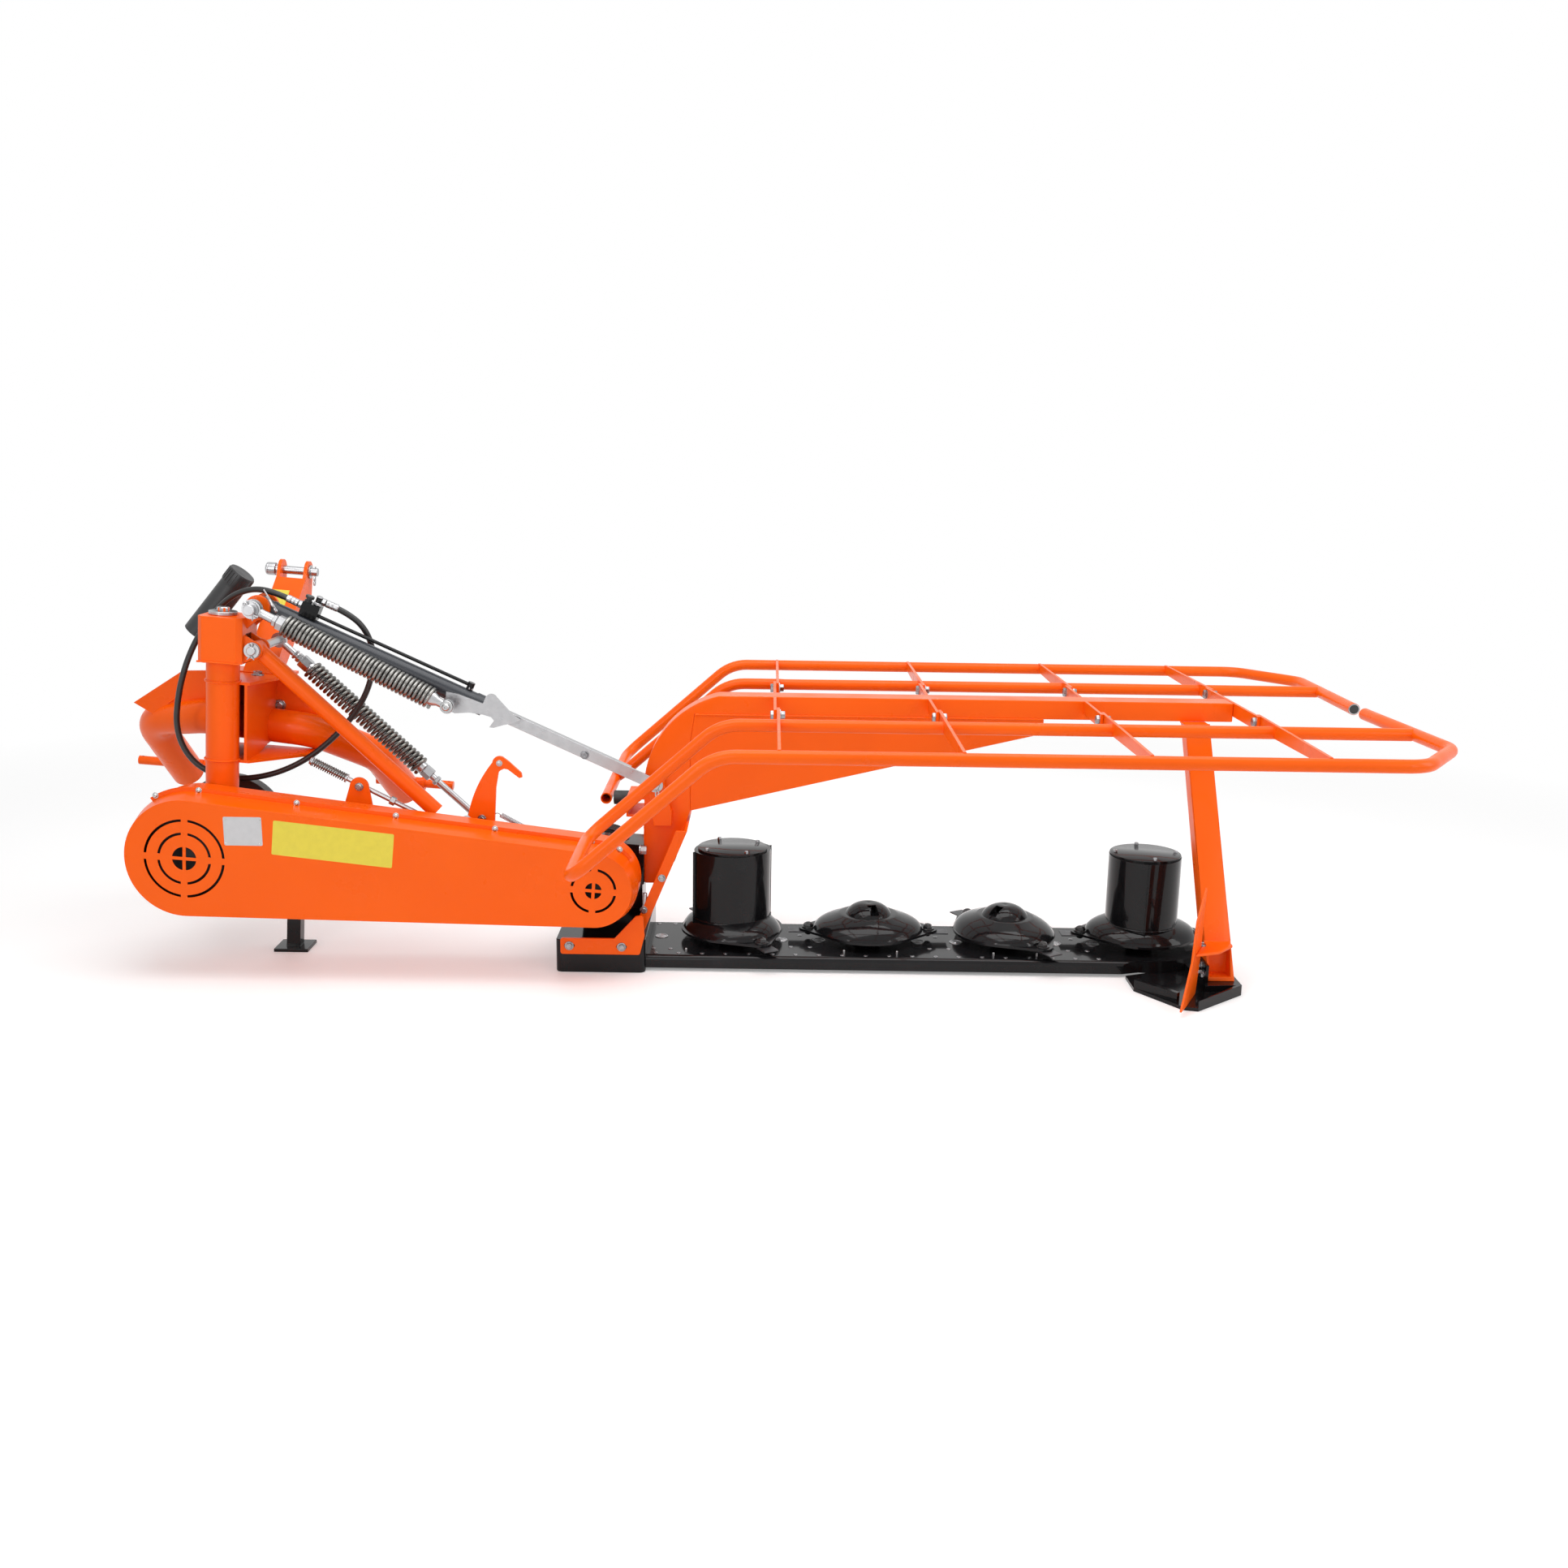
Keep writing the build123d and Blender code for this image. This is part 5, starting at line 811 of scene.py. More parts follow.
# Swivelling head and arm: pins, washers and split pins
@piece_of(ZINC, "carrier")
def head_pin_hardware(bm):
    """Washers, pin ends, split pins and a clip of the head pin and the strut pin."""
    ring(bm, lean(HEAD_PIN_X, -175.5, HEAD_PIN_Z), NEAR, HEAD_PIN_HOLE, 21.0, 4.0)
    turned(bm, lean(HEAD_PIN_X, -178, HEAD_PIN_Z), NEAR, ((0, 15.4), (17, 15.4), (19, 13.5)), 32)
    split_pin(bm, lean(HEAD_PIN_X, -188, HEAD_PIN_Z), LEAN_X * 0.6 - LEAN_Z * 0.8,
              LEAN_Z * 0.6 + LEAN_X * 0.8, 0.040, 1.8)
    ring(bm, lean(HEAD_PIN_X, -38, HEAD_PIN_Z), FAR, HEAD_PIN_HOLE, 25.0, 4.0)
    turned(bm, lean(STRUT_PIN_X, -156, STRUT_PIN_Z), NEAR, ((0, 12.0), (7, 12.0), (8.5, 10.5)), 28)
    ring(bm, lean(STRUT_PIN_X, -146.0, STRUT_PIN_Z), NEAR, 12.2, 22.0, 2.0)
    split_pin(bm, lean(STRUT_PIN_X, -161, STRUT_PIN_Z), LEAN_Z * -1, LEAN_X, 0.034, 1.6)
    spring_clip(bm, lean(-962, -120, 706), LEAN_X * 0.55 - LEAN_Z * 0.83, NEAR, 0.070, 2.2)


HEX_HEAD.make("carrier_bolts", [
    (lean(EAR_X, -132, EAR_Z), NEAR, 15, 0.78),
    (lean(LOWER_FOOT_X, 103, LOWER_FOOT_Z), FAR, 0, 0.9),
    (lean(HOOK_X, -136, HOOK_Z), NEAR, 25, 0.8),
    (lean(STRUT_PIN_X, 101, STRUT_PIN_Z), FAR, 0, 1.2),
], "carrier", BOLT, Radius=0.0115, Height=0.009, Washer=0.0155, WasherThickness=0.0025)


# Belt cover: flange on the rim, screws and two blank plates
COVER_ENDS = ((DRIVE_X, DRIVE_Z, COVER_BIG_R), (0.0, 0.0, COVER_SMALL_R))
COVER_LEAN = math.degrees(math.asin((COVER_BIG_R - COVER_SMALL_R) / -DRIVE_X))


def cover_rim(offset, first=128.0, last=42.0):
    """Points over the top of the cover's outline, from the drive end to the hinge end."""
    points = []
    tangent = 90 - COVER_LEAN
    for (x, z, r), (start, stop) in zip(COVER_ENDS, ((first, tangent), (tangent, last))):
        steps = max(4, int(abs(start - stop) / 4))
        for k in range(steps + 1):
            a = math.radians(start + (stop - start) * k / steps)
            points.append((x + (r + offset) * math.cos(a), z + (r + offset) * math.sin(a)))
    return points


@piece_of(ORANGE, "carrier", 30)
def cover_flange(bm):
    """Thin flange that stands up along the cover's top edge."""
    rings = []
    for (xo, zo), (xi, zi) in zip(cover_rim(11.0), cover_rim(-2.5)):
        corners = ((xi, FLANGE_FAR, zi), (xo, FLANGE_FAR, zo), (xo, FLANGE_NEAR, zo), (xi, FLANGE_NEAR, zi))
        rings.append([bm.verts.new(lean(*corner)) for corner in corners])
    closed_run(bm, rings)


def face_plate(name, centre, half, degrees, material, thick=0.0006, corner=4.0):
    """A thin plate with round corners on the cover's front."""
    bm = bmesh.new()
    turn = math.radians(degrees)
    outline = []
    for sx, sz, start in ((1, 1, 0), (-1, 1, 90), (-1, -1, 180), (1, -1, 270)):
        for k in range(5):
            a = math.radians(start + 22.5 * k)
            u = sx * (half[0] - corner) + corner * math.cos(a)
            v = sz * (half[1] - corner) + corner * math.sin(a)
            outline.append(lean(centre[0] + u * math.cos(turn) - v * math.sin(turn), COVER_FACE,
                                centre[1] + u * math.sin(turn) + v * math.cos(turn)))
    slab(bm, outline, FAR * thick)
    new_piece(name, bm, material, "carrier", 40)


BUTTON_HEAD.make("cover_screws", [
    (lean(x, FLANGE_NEAR, z), NEAR)
    for x, z in ((-1216, 153), (-1098, 177), (-830, 164), (-558, 151), (-285, 137), (-18, 123), (60, 107))
], "carrier", BRIGHT, Radius=0.0062, Height=0.0042, Sides=20, Washer=0.0085, WasherThickness=0.0014,
    Recess=0.5, RecessDepth=0.0022)
DATA_PLATE = (-957, 88)
face_plate("cover_data_plate", DATA_PLATE, (52, 40), 4.0, GREY_PLATE)
face_plate("cover_film", (-713, 72), (164, 48), -2.0, YELLOW_FILM)
BUTTON_HEAD.make("data_plate_rivets", [
    (lean(DATA_PLATE[0] + u, COVER_FACE, DATA_PLATE[1] + v + 0.07 * u), NEAR)
    for u in (-46, 46) for v in (-34, 34)
], "carrier", BRIGHT, Radius=0.0024, Height=0.0014, Sides=12, Washer=0.0026, WasherThickness=0.0002,
    RecessDepth=0.0001)


@piece_of(YELLOW_FILM, "headstock")
def mast_film(bm):
    """Film on the mast's sloping face, left blank."""
    foot = (95 - 40, 458)
    head = (TOP_PIN_Y - 42, TOP_PIN_Z - 18)
    slab(bm, [lean(HITCH_X + x, foot[0] + (head[0] - foot[0]) * t - 0.8,
                   foot[1] + (head[1] - foot[1]) * t + 0.6)
              for x, t in ((-40, 0.64), (10, 0.64), (10, 0.86), (-40, 0.86))], NEAR * 0.0006)


# Cylinder: gland, bleed knob and port fittings
@piece_of(GREY, "lift_cylinder")
def cylinder_gland(bm):
    """An open ring around the barrel's end, and the collar at its base."""
    ring(bm, LIFT_A + LIFT_DIR * 0.640, LIFT_DIR, 26.9, 29.2, 27.0, 40)
    turned(bm, LIFT_A, LIFT_DIR, ((27, 27.2), (30, 29.0), (36, 29.0), (40, 27.2)), 40)


@piece_of(PLASTIC, "lift_cylinder")
def bleed_knob(bm):
    """Round knob beside the first port."""
    turned(bm, on_lift(112, LIFT_Y, 66), LIFT_UP,
           ((-0.5, 10.5), (4, 10.5), (5, 8.0), (9, 8.0), (10, 12.0), (16, 12.5), (18, 11.0)), 24)


@piece_of(ZINC, "lift_cylinder")
def port_fittings(bm):
    """Nuts of the ports and of the pipe, and a cap."""
    hex_block(bm, on_lift(138, LIFT_Y, 66), LIFT_UP, 21.0, 0.5, 9.0)
    hex_block(bm, on_lift(138, LIFT_Y, 82), LIFT_DIR, 20.0, 9.0, 20.0)
    turned(bm, on_lift(138, LIFT_Y, 66), LIFT_UP, ((24, 9.6), (26, 9.6), (28, 6.0)), 24)
    hex_block(bm, on_lift(102, LIFT_Y, 50), LIFT_DIR * -1, 20.0, 1.0, 12.0)
    hex_block(bm, on_lift(612, LIFT_Y, 27), LIFT_UP, 19.0, 0.5, 8.0)


# Lever plate, lift bar and hook: eye bolt, stop bolt, pin hardware and hook bolt
BUTTON_HEAD.make("spring_eye_bolt", [(on_lift(SPRING_EYE, -171, -SPRING_DROP), NEAR)],
                 "lift_cylinder", BRIGHT, Radius=0.0115, Height=0.0115, Sides=28, Washer=0.0175,
                 WasherThickness=0.003, Recess=0.52, RecessDepth=0.005)


@piece_of(ZINC, "lift_rod")
def lift_pin_hardware(bm):
    """Washer, pin end, clip and head of the lift bar's pin."""
    pivot = on_lift(LIFT_SPAN, BAR_FACE)
    ring(bm, pivot, NEAR, 12.2, 21.0, 3.0)
    turned(bm, pivot, NEAR, ((0, 12.0), (14, 12.0), (16, 10.5)), 28)
    spring_clip(bm, pivot + NEAR * 0.009, LIFT_UP * -0.9 + LIFT_DIR * 0.43, LIFT_DIR, 0.045, 2.0)
    turned(bm, on_lift(LIFT_SPAN, -70.8), FAR, ((0, 18.0), (2.5, 18.5), (5, 17.0)), 28)


HEX_HEAD.make("bar_bolts", [(on_lift(982, BAR_FACE, -5), NEAR, 10)], "lift_rod", BOLT,
              Radius=0.0095, Height=0.007, Washer=0.0125, WasherThickness=0.002)
BUTTON_HEAD.make("hook_head_bolt", [
    (lean(HOOK_X + 41, HOOK_Y - 5, HOOK_Z + 164), NEAR, 0, 0.8),
    (lean(HOOK_X + 41, HOOK_Y + 5, HOOK_Z + 164), FAR, 0, 0.8),
], "hook", ZINC, Radius=0.008, Height=0.004, Sides=20, Washer=0.011, WasherThickness=0.0015,
    RecessDepth=0.002)

# Inner and outer ends of the cutter bar's frame: bolts of brackets, slanted plate, outer shoe and lift lug
SLOPE = 0.414
SLANT = Vector((1, 0, -SLOPE)).normalized()


def slanted(z, y):
    """A point on the slanted plate's right face."""
    return ground(112 + (z - 96) * SLOPE + 8, y, z)


HEX_HEAD.make("frame_bolts", [
    (ground(-82, -218, 82), NEAR, 8, 0.75), (ground(66, -218, 80), NEAR, 22, 0.75),
    (ground(176, -156.3, 266), NEAR, 10, 0.62), (ground(124, -156.3, 171), NEAR, 40, 0.62),
    (slanted(268, 60), SLANT, 25, 0.95), (slanted(178, 85), SLANT, 5, 0.95),
    (ground(1679, -293, 136.2), UP, 12, 0.9),
    (ground(1692.6, -296, 50), OUTWARDS * -1, 5, 0.72),
    (ground(1692.6, -272, 50), OUTWARDS * -1, 25, 0.72),
    (ground(1692.6, -272, 70), OUTWARDS * -1, 15, 0.72),
    (ground(LIFT_EYE_X, -71, LIFT_EYE_Z), FAR, 0, 1.1),
], "mower_frame", BOLT, Radius=0.0125, Height=0.0085, Washer=0.0175, WasherThickness=0.003)


@piece_of(ZINC, "mower_frame")
def upright_bolt_and_pin(bm):
    """The big bolt beside the gearbox and the pin below it."""
    bolt = ground(112, -143, 345)
    turned(bm, bolt, OUTWARDS, ((0, 13.5), (3, 13.5)), 28)
    hex_block(bm, bolt, OUTWARDS, 22.0, 3.0, 20.0)
    turned(bm, ground(127, -148, 168), UP, ((0, 8.0), (16, 8.0), (17, 6.5), (50, 6.5), (51, 5.5)), 20)


# Cutter bar: flush screws, bearing caps and small locating pins
BETWEEN_DISCS = [DISC_1_X + DISC_PITCH / 2 + DISC_PITCH * k for k in range(DISC_COUNT - 1)]


def flush_screws():
    """Screws level with the cutter bar's top: near edge, between the discs and inner end."""
    screws = [(ground(158 + 67.0 * k, -164, BAR_TOP), UP, 17 * k) for k in range(20)]
    screws += [(ground(x + dx, dy, BAR_TOP), UP, 31 * k) for k, x in enumerate(BETWEEN_DISCS)
               for dx, dy in ((-28, -96), (28, -96), (0, 62), (0, 10))]
    screws += [(ground(x, y, BAR_TOP), UP, 5) for x, y in ((150, 104), (199, 104), (150, -128), (199, -128))]
    BUTTON_HEAD.make("flush_screws", screws, "mower_frame", BOLT, Radius=0.0062, Height=0.0009,
                     Sides=20, Washer=0.0068, WasherThickness=0.0006, Recess=0.48, RecessDepth=0.0009)


flush_screws()


@piece_of(ZINC, "mower_frame", 28)
def bearing_caps(bm):
    """Round caps beside the discs, and small pins along the near edge."""
    caps = [(165, -14)] + [(middle + dx, -33) for middle in BETWEEN_DISCS for dx in (-56, 56)]
    for x, y in caps:
        turned(bm, ground(x, y, BAR_TOP), UP,
               ((-0.5, 19.0), (1.2, 19.0), (1.8, 18.0), (1.8, 15.5), (0.9, 14.5), (0.9, 8.0), (1.9, 7.0),
                (1.9, 4.0), (1.2, 3.5)), 32)
    for x, y in ((245, -150), (852, -148), (700, -146), (1130, -150), (1255, -146)):
        turned(bm, ground(x, y, BAR_TOP), UP, ((-0.5, 3.5), (9, 3.5), (10, 2.5)), 12)


# Guard hinges: hex heads, nuts and white washers
HINGES = [(x, sign) for x in (490.0, 930.0, 1375.0, 1800.0) for sign in (-1, 1)]


def at_hinge(x, sign, offset):
    """A point on a hinge's axis."""
    return ground(x + offset, sign * FOLD_Y, FOLD_Z)


HEX_HEAD.make("hinge_heads", [
    (at_hinge(x, sign, -4.2), OUTWARDS * -1, 12 * sign) for x, sign in HINGES
], "mower_frame", BOLT, Radius=0.0131, Height=0.0085, Washer=0.0140, WasherThickness=0.0002)
HEX_HEAD.make("hinge_nuts", [
    (at_hinge(x, sign, 15.2), OUTWARDS, 8) for x, sign in HINGES
], "mower_frame", BOLT, Radius=0.0115, Height=0.0105, Washer=0.0138, WasherThickness=0.0018)


@piece_of(WHITE_NYLON, "mower_frame")
def hinge_washers(bm):
    for x, sign in HINGES:
        ring(bm, at_hinge(x, sign, 13.0), OUTWARDS, 6.2, 16.0, 2.2, 28)


# Discs: knife bolts on every disc, screws and seam lips on the tall cones, a bolt in each low cap
KNIFE_BOLT_R = 177.0
CONE_LONG = 116.5          # half length and half width of the cone's lens-shaped outline
CONE_SHORT = 104.0
CONE_TURN = 82.0           # from the knives to the cone's cusps
CONE_TOP = 318.0
CAP_PEAK = 132.0


def on_disc(i, radius, degrees, z):
    """A point around the middle of a disc."""
    a = math.radians(degrees)
    return ground(DISC_1_X + DISC_PITCH * i + radius * math.cos(a), radius * math.sin(a), z)


def knife_bolts(i, turn):
    """Domed heads over the knives, and smaller ones below."""
    DOME_HEAD.make("knife_bolts_%d" % (i + 1), [
        (on_disc(i, KNIFE_BOLT_R, turn, 76.9), UP, 20),
        (on_disc(i, KNIFE_BOLT_R, turn + 180, 76.9), UP, 50),
        (on_disc(i, KNIFE_BOLT_R, turn, 66.2), UP * -1, 0, 0.8),
        (on_disc(i, KNIFE_BOLT_R, turn + 180, 66.2), UP * -1, 0, 0.8),
    ], "disc_rotor_%d" % (i + 1), BLACK_BOLT, Radius=0.0150, Height=0.0125, Washer=0.0195,
        WasherThickness=0.003, Recess=0.45, RecessDepth=0.003)


def cone_hardware(i, cusp):
    """Lid, lid screws and seam lips of a tall cone."""
    body = "disc_rotor_%d" % (i + 1)
    HEX_HEAD.make("lid_screws_%d" % (i + 1), [
        (on_disc(i, 88, cusp + a, CONE_TOP), UP, 9 * a) for a in (12, 96, 192, 276)
    ], body, BOLT, Radius=0.0062, Height=0.0085, Washer=0.0080, WasherThickness=0.0012)
    bm = bmesh.new()
    for a in (cusp, cusp + 180):
        out = (on_disc(i, 1000, a, 0) - on_disc(i, 0, a, 0)).normalized()
        across = UP.cross(out)
        foot = on_disc(i, 112, a, 96)
        slab(bm, [foot - across * 0.0015, foot + across * 0.0015, foot + across * 0.0012 + out * 0.011,
                  foot - across * 0.0012 + out * 0.011], UP * 0.218)
    turned(bm, on_disc(i, 0, 0, CONE_TOP - 0.5), UP,
           ((0, 101.5), (0.5, 102.0), (2.2, 102.0), (2.8, 101.0)), 64)
    new_piece("cone_seams_%d" % (i + 1), bm, BLACK, body)


def cone_weld(i, cusp, steps=24):
    """Weld bead around the foot of a tall cone, along both arcs of its outline."""
    arc_radius = (CONE_LONG ** 2 + CONE_SHORT ** 2) / (2 * CONE_SHORT)
    half_sweep = math.degrees(math.asin(CONE_LONG / arc_radius))
    line = []
    for side in (0, 180):
        for k in range(steps + 1):
            a = math.radians(90 - half_sweep + 2 * half_sweep * k / steps)
            u = (arc_radius + 1) * math.cos(a)
            v = (arc_radius + 1) * math.sin(a) - (arc_radius - CONE_SHORT)
            line.append(on_disc(i, math.hypot(u, v), math.degrees(math.atan2(v, u)) + cusp + side,
                                110 + 3 * abs(math.cos(a))))
    BEAD.make("cone_weld_%d" % (i + 1), [line], "disc_rotor_%d" % (i + 1), BLACK, 50,
              Radius=0.0032, Ripple=0.006)


def cap_bolt(i):
    """The bolt on top of a low cap."""
    HEX_HEAD.make("cap_bolt_%d" % (i + 1), [(on_disc(i, 0, 0, CAP_PEAK), UP, 12)],
                  "disc_rotor_%d" % (i + 1), BOLT, Radius=0.0105, Height=0.008, Washer=0.0165,
                  WasherThickness=0.0025)


for i in range(DISC_COUNT):
    knife_turn = -60.0 if i % 2 == 0 else 0.0
    knife_bolts(i, knife_turn)
    if i in (0, DISC_COUNT - 1):
        cone_hardware(i, knife_turn + CONE_TURN)
        cone_weld(i, knife_turn + CONE_TURN)
    else:
        cap_bolt(i)


# Weld beads on the painted frames
def circle_line(origin, axis, radius, steps=48):
    """Points around a tube, closed."""
    turn = basis(axis, OUTWARDS)
    angles = [math.radians(360.0 * k / steps) for k in range(steps + 1)]
    return [origin + turn @ Vector((radius * math.cos(a), radius * math.sin(a), 0)) / 1000 for a in angles]


def straight(a, b, steps=8):
    """Points from a to b."""
    return [a.lerp(b, k / steps) for k in range(steps + 1)]


BEAM_EDGE = 40.5
BEAM_FOOT = 718.5
BEAD.make("frame_welds", [
    straight(ground(264, -BEAM_EDGE, BEAM_FOOT), ground(1256, -BEAM_EDGE, BEAM_FOOT), 12),
    straight(ground(264, BEAM_EDGE, BEAM_FOOT), ground(1256, BEAM_EDGE, BEAM_FOOT), 12),
    straight(slanted(232, -41) - SLANT * 0.008, slanted(400, -41) - SLANT * 0.008),
    straight(ground(1650, -86, 718), ground(1718, -86, 718)),
    straight(ground(1649, -86, 718), ground(1649, -40, 718)),
    straight(ground(118, -39, 224), ground(118, -39, 400)),
], "mower_frame", ORANGE, 50, Radius=0.0028, Ripple=0.0055)
BEAD.make("hitch_welds", [
    circle_line(lean(POST_X, POST_Y, 459), LEAN_Z, 46.5),
    circle_line(lean(POST_X, POST_Y, 236), LEAN_Z, 46.5),
    straight(lean(-1340, 149, 331), lean(-1300, 149, 362)),
    straight(lean(-1118, 56, 459), lean(-990, 56, 459)),
    straight(lean(-1027, -60, 236), lean(-1027, 148, 250)),
    straight(lean(-1027, -60, 448), lean(-1027, 148, 448)),
], "headstock", ORANGE, 50, Radius=0.0030, Ripple=0.0055)
BEAD.make("carrier_welds", [
    straight(lean(-738, -117, 119), lean(-652, -117, 116)),
    straight(lean(-374, -107, 105), lean(-316, -107, 101)),
    straight(lean(-1138, -173, 518), lean(-1020, -173, 518)),
    circle_line(lean(POST_X, POST_Y, 103.5), LEAN_Z, 45.5),
], "carrier", ORANGE, 50, Radius=0.0026, Ripple=0.005)


# Tube ends of the guard: a dark disc of painted shade across each bore, with a rim
def tube_end(name, side, body):
    """A dark disc of painted shade across the bore, and a rim, where a guard half's tube ends beside the
    other half's.
    """
    start = ground(GUARD_RIGHT - 20, side * 40, GUARD_Z)
    inwards = (ground(GUARD_RIGHT, side * 560, GUARD_Z) - start).normalized() * -1
    bm = bmesh.new()
    # painted shade: a flat disc in the dark rubber finish closes the tube's end in place of the shade inside
    # the bore
    turned(bm, start, inwards, ((-0.4, 13.4), (0.4, 13.4)), 28)
    new_piece(name + "_painted_shade_disc", bm, RUBBER, body)
    bm = bmesh.new()
    ring(bm, start, inwards, 13.2, 16.2, 0.7, 28)
    new_piece(name + "_rim", bm, ZINC, body)


tube_end("guard_rear", -1, "guard_rear_half")
tube_end("guard_front", 1, "guard_front_half")


# Hose: one line from the first port over the head and back up to the second port
HOSE_D = 0.017
HOSE_START = LIFT_A + LIFT_DIR * 0.088 + LIFT_UP * 0.050
HOSE_END = LIFT_A + LIFT_DIR * 0.160 + LIFT_UP * 0.082
HOSE_INNER = [lean(*at) for at in (
    (-959, -72, 714), (-1030, -52, 716), (-1100, -28, 684), (-1162, -10, 616), (-1217, -8, 520),
    (-1250, -12, 400), (-1258, -12, 275), (-1204, -8, 182), (-1105, 2, 148), (-1000, 12, 164),
    (-905, 17, 210), (-825, 17, 278), (-760, 14, 355), (-712, 0, 440), (-690, -18, 530), (-700, -40, 610),
    (-745, -66, 668))]


def hose_line():
    """The hose as a round curve along its route."""
    curve = bpy.data.curves.new("lift_hose_line", "CURVE")
    curve.dimensions = "3D"
    curve.bevel_depth = HOSE_D / 2
    curve.bevel_resolution = 5
    curve.use_fill_caps = True
    spline = curve.splines.new("NURBS")
    route = [HOSE_START, *HOSE_INNER, HOSE_END]
    spline.points.add(len(route) - 1)
    for point, at in zip(spline.points, route):
        point.co = (*at, 1)
    spline.order_u = 3
    spline.use_endpoint_u = True
    spline.resolution_u = 12
    curve.materials.append(HOSE)
    line = bpy.data.objects.new("lift_hose_line", curve)
    bpy.context.collection.objects.link(line)
    return line


def hose_ferrules():
    """A ribbed ferrule on each end of the hose."""
    bm = bmesh.new()
    for at, towards in ((HOSE_START, HOSE_INNER[0]), (HOSE_END, HOSE_INNER[-1])):
        out = (towards - at).normalized()
        turned(bm, at, out, ((-2, 8.0), (0, 10.2), (3, 10.6), (9, 10.6), (10, 9.9), (12, 10.6), (20, 10.6),
                             (21, 9.9), (23, 10.6), (32, 10.6), (34, 9.0)), 28)
    return new_piece("hose_ferrules", bm, ZINC, "carrier")


hose = hose_line()
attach(hose, "carrier")
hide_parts("lift_hose")
ferrules = hose_ferrules()

# Camera from the photograph's own view: pixel values of a camera fitted to it
PHOTO_SIDE = 1932
FOCAL_LENGTH = 1850
HORIZON = 416              # above the picture's middle
SHIFT = 21
SENSOR = 36.0
ROLL = 0.0145
CAMERA_AT = (0.137, -4.261, 1.468)


def photo_camera():
    """The camera that stands where the photograph was taken."""
    camera = bpy.data.objects.new("camera", bpy.data.cameras.new("camera"))
    bpy.context.collection.objects.link(camera)
    camera.data.sensor_width = SENSOR
    camera.data.lens = SENSOR * FOCAL_LENGTH / PHOTO_SIDE
    camera.data.shift_x = SHIFT / PHOTO_SIDE
    pitch = math.atan(HORIZON / FOCAL_LENGTH)
    camera.matrix_world = (Matrix.Translation(CAMERA_AT) @ Matrix.Rotation(math.pi / 2 - pitch, 4, "X")
                           @ Matrix.Rotation(ROLL, 4, "Z"))
    bpy.context.scene.camera = camera


photo_camera()


# Pale floor that fades into the white background but keeps the shadow
def seen_directly(tree):
    """1 for rays from the camera, from gloss and through glass, else 0."""
    path = tree.nodes.new("ShaderNodeLightPath")
    seen = path.outputs["Is Camera Ray"]
    for name in ("Is Glossy Ray", "Is Transmission Ray"):
        either = tree.nodes.new("ShaderNodeMath")
        either.operation = "MAXIMUM"
        tree.links.new(seen, either.inputs[0])
        tree.links.new(path.outputs[name], either.inputs[1])
        seen = either.outputs[0]
    return seen


def floor_finish():
    """Pale grey, a little lifted where it is seen directly, and white far off."""
    m = Finish("pale_floor")
    m.feed("Base Color", m.ramp(m.noise(0.6), (0.3, (0.80, 0.80, 0.80)), (0.7, (0.83, 0.83, 0.83))))
    m.set(Roughness=0.6)
    length = m.add("ShaderNodeVectorMath")
    length.operation = "LENGTH"
    m.link(m.coords, length.inputs[0])
    far_off = m.grey(length.outputs["Value"], 0.0, 1.0, 2.2, 4.6)
    seen = seen_directly(m.tree)
    lit = m.add("ShaderNodeAddShader")
    m.link(m.shader.outputs[0], lit.inputs[0])
    m.link(m.glow(0.24), lit.inputs[1])
    lifted = m.mix_shaders(seen, m.shader.outputs[0], lit.outputs[0])
    fade = m.add("ShaderNodeMath")
    fade.operation = "MULTIPLY"
    m.link(seen, fade.inputs[0])
    m.link(far_off, fade.inputs[1])
    m.link(m.mix_shaders(fade.outputs[0], lifted, m.glow(1.0)), m.output.inputs[0])
    return m.material


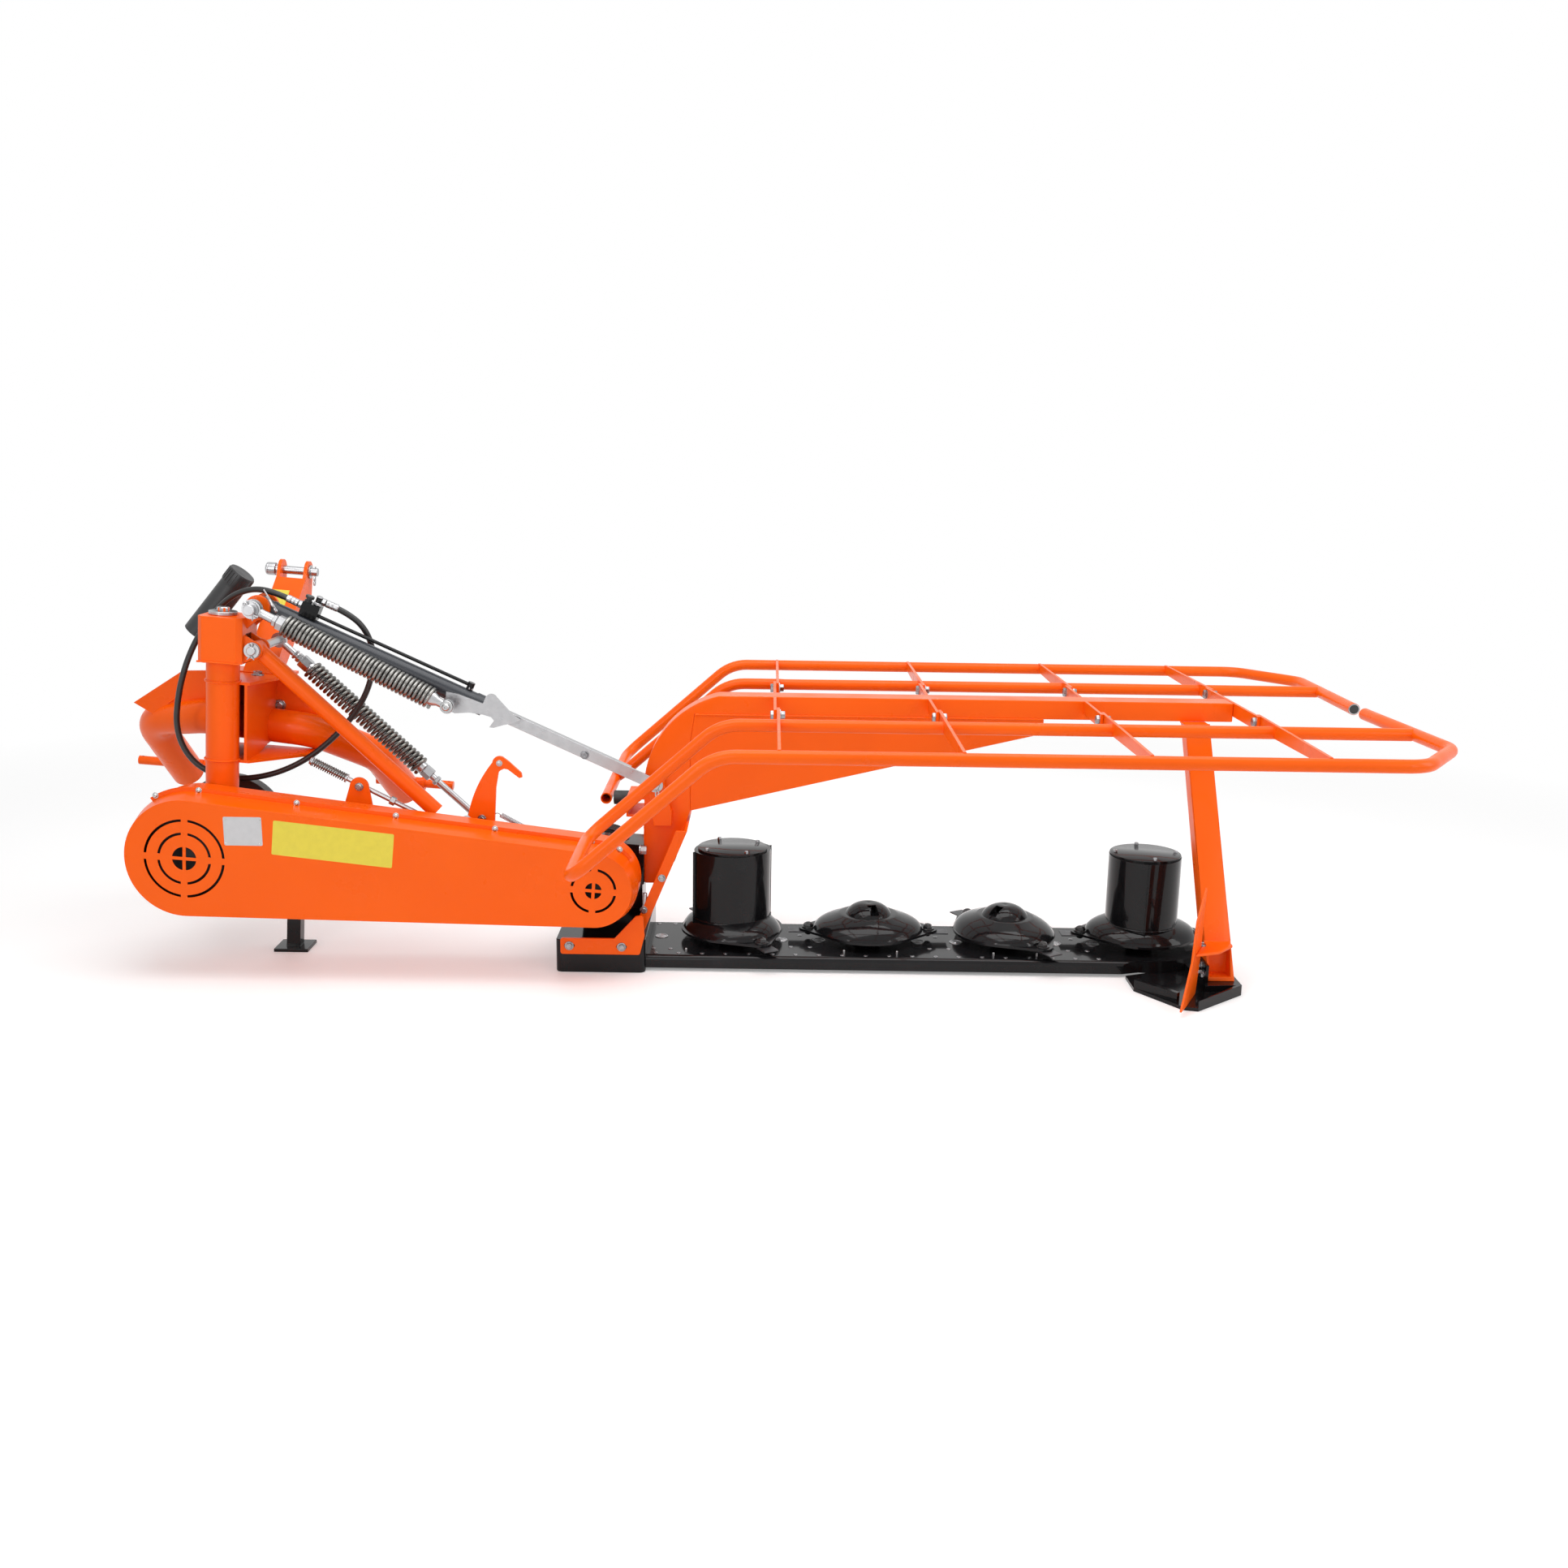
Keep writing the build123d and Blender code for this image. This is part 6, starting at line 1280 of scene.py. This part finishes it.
def pale_floor():
    """A wide round floor at the ground's height, kept out of the part."""
    bm = bmesh.new()
    bmesh.ops.create_circle(bm, cap_ends=True, segments=64, radius=16.0)
    mesh = bpy.data.meshes.new("floor")
    bm.to_mesh(mesh)
    bm.free()
    mesh.materials.append(floor_finish())
    floor = bpy.data.objects.new("floor", mesh)
    bpy.context.collection.objects.link(floor)


pale_floor()


# Studio: softboxes and a white world
def softbox(name, at, target, size, power, mirrored=True):
    """A rectangular lamp that faces its target."""
    data = bpy.data.lights.new(name, "AREA")
    data.shape = "RECTANGLE"
    data.size = size[0]
    data.size_y = size[1]
    data.energy = power
    light = bpy.data.objects.new(name, data)
    light.visible_glossy = mirrored
    bpy.context.collection.objects.link(light)
    at = Vector(at)
    aim = (Vector(target) - at).to_track_quat("-Z", "Y").to_matrix().to_4x4()
    light.matrix_world = Matrix.Translation(at) @ aim


def studio_world():
    """White where it is seen directly, and a softer light for the rest."""
    world = bpy.data.worlds.new("studio")
    bpy.context.scene.world = world
    world.use_nodes = True
    background = world.node_tree.nodes["Background"]
    background.inputs[0].default_value = (1, 1, 1, 1)
    strength = world.node_tree.nodes.new("ShaderNodeMapRange")
    strength.inputs["To Min"].default_value = 0.42
    strength.inputs["To Max"].default_value = 1.0
    world.node_tree.links.new(seen_directly(world.node_tree), strength.inputs["Value"])
    world.node_tree.links.new(strength.outputs[0], background.inputs[1])


softbox("top_softbox", (0.2, -0.4, 3.8), (0, 0, 0.3), (4.5, 2.6), 116)
softbox("front_softbox", (-1.6, -4.6, 2.2), (0, 0, 0.4), (3.0, 2.0), 37)
softbox("left_strip", (-2.4, -3.4, 1.9), (0.4, 0, 0.4), (0.35, 2.4), 16)
softbox("right_strip", (3.2, -3.0, 1.8), (0.6, 0, 0.4), (0.35, 2.4), 14)
softbox("right_softbox", (4.6, -1.6, 2.2), (0.5, 0, 0.4), (1.6, 2.6), 40)
softbox("back_softbox", (-1.0, 4.6, 2.6), (0, 0, 0.5), (3.0, 2.0), 40, False)
studio_world()
bpy.context.scene.view_settings.view_transform = "Standard"
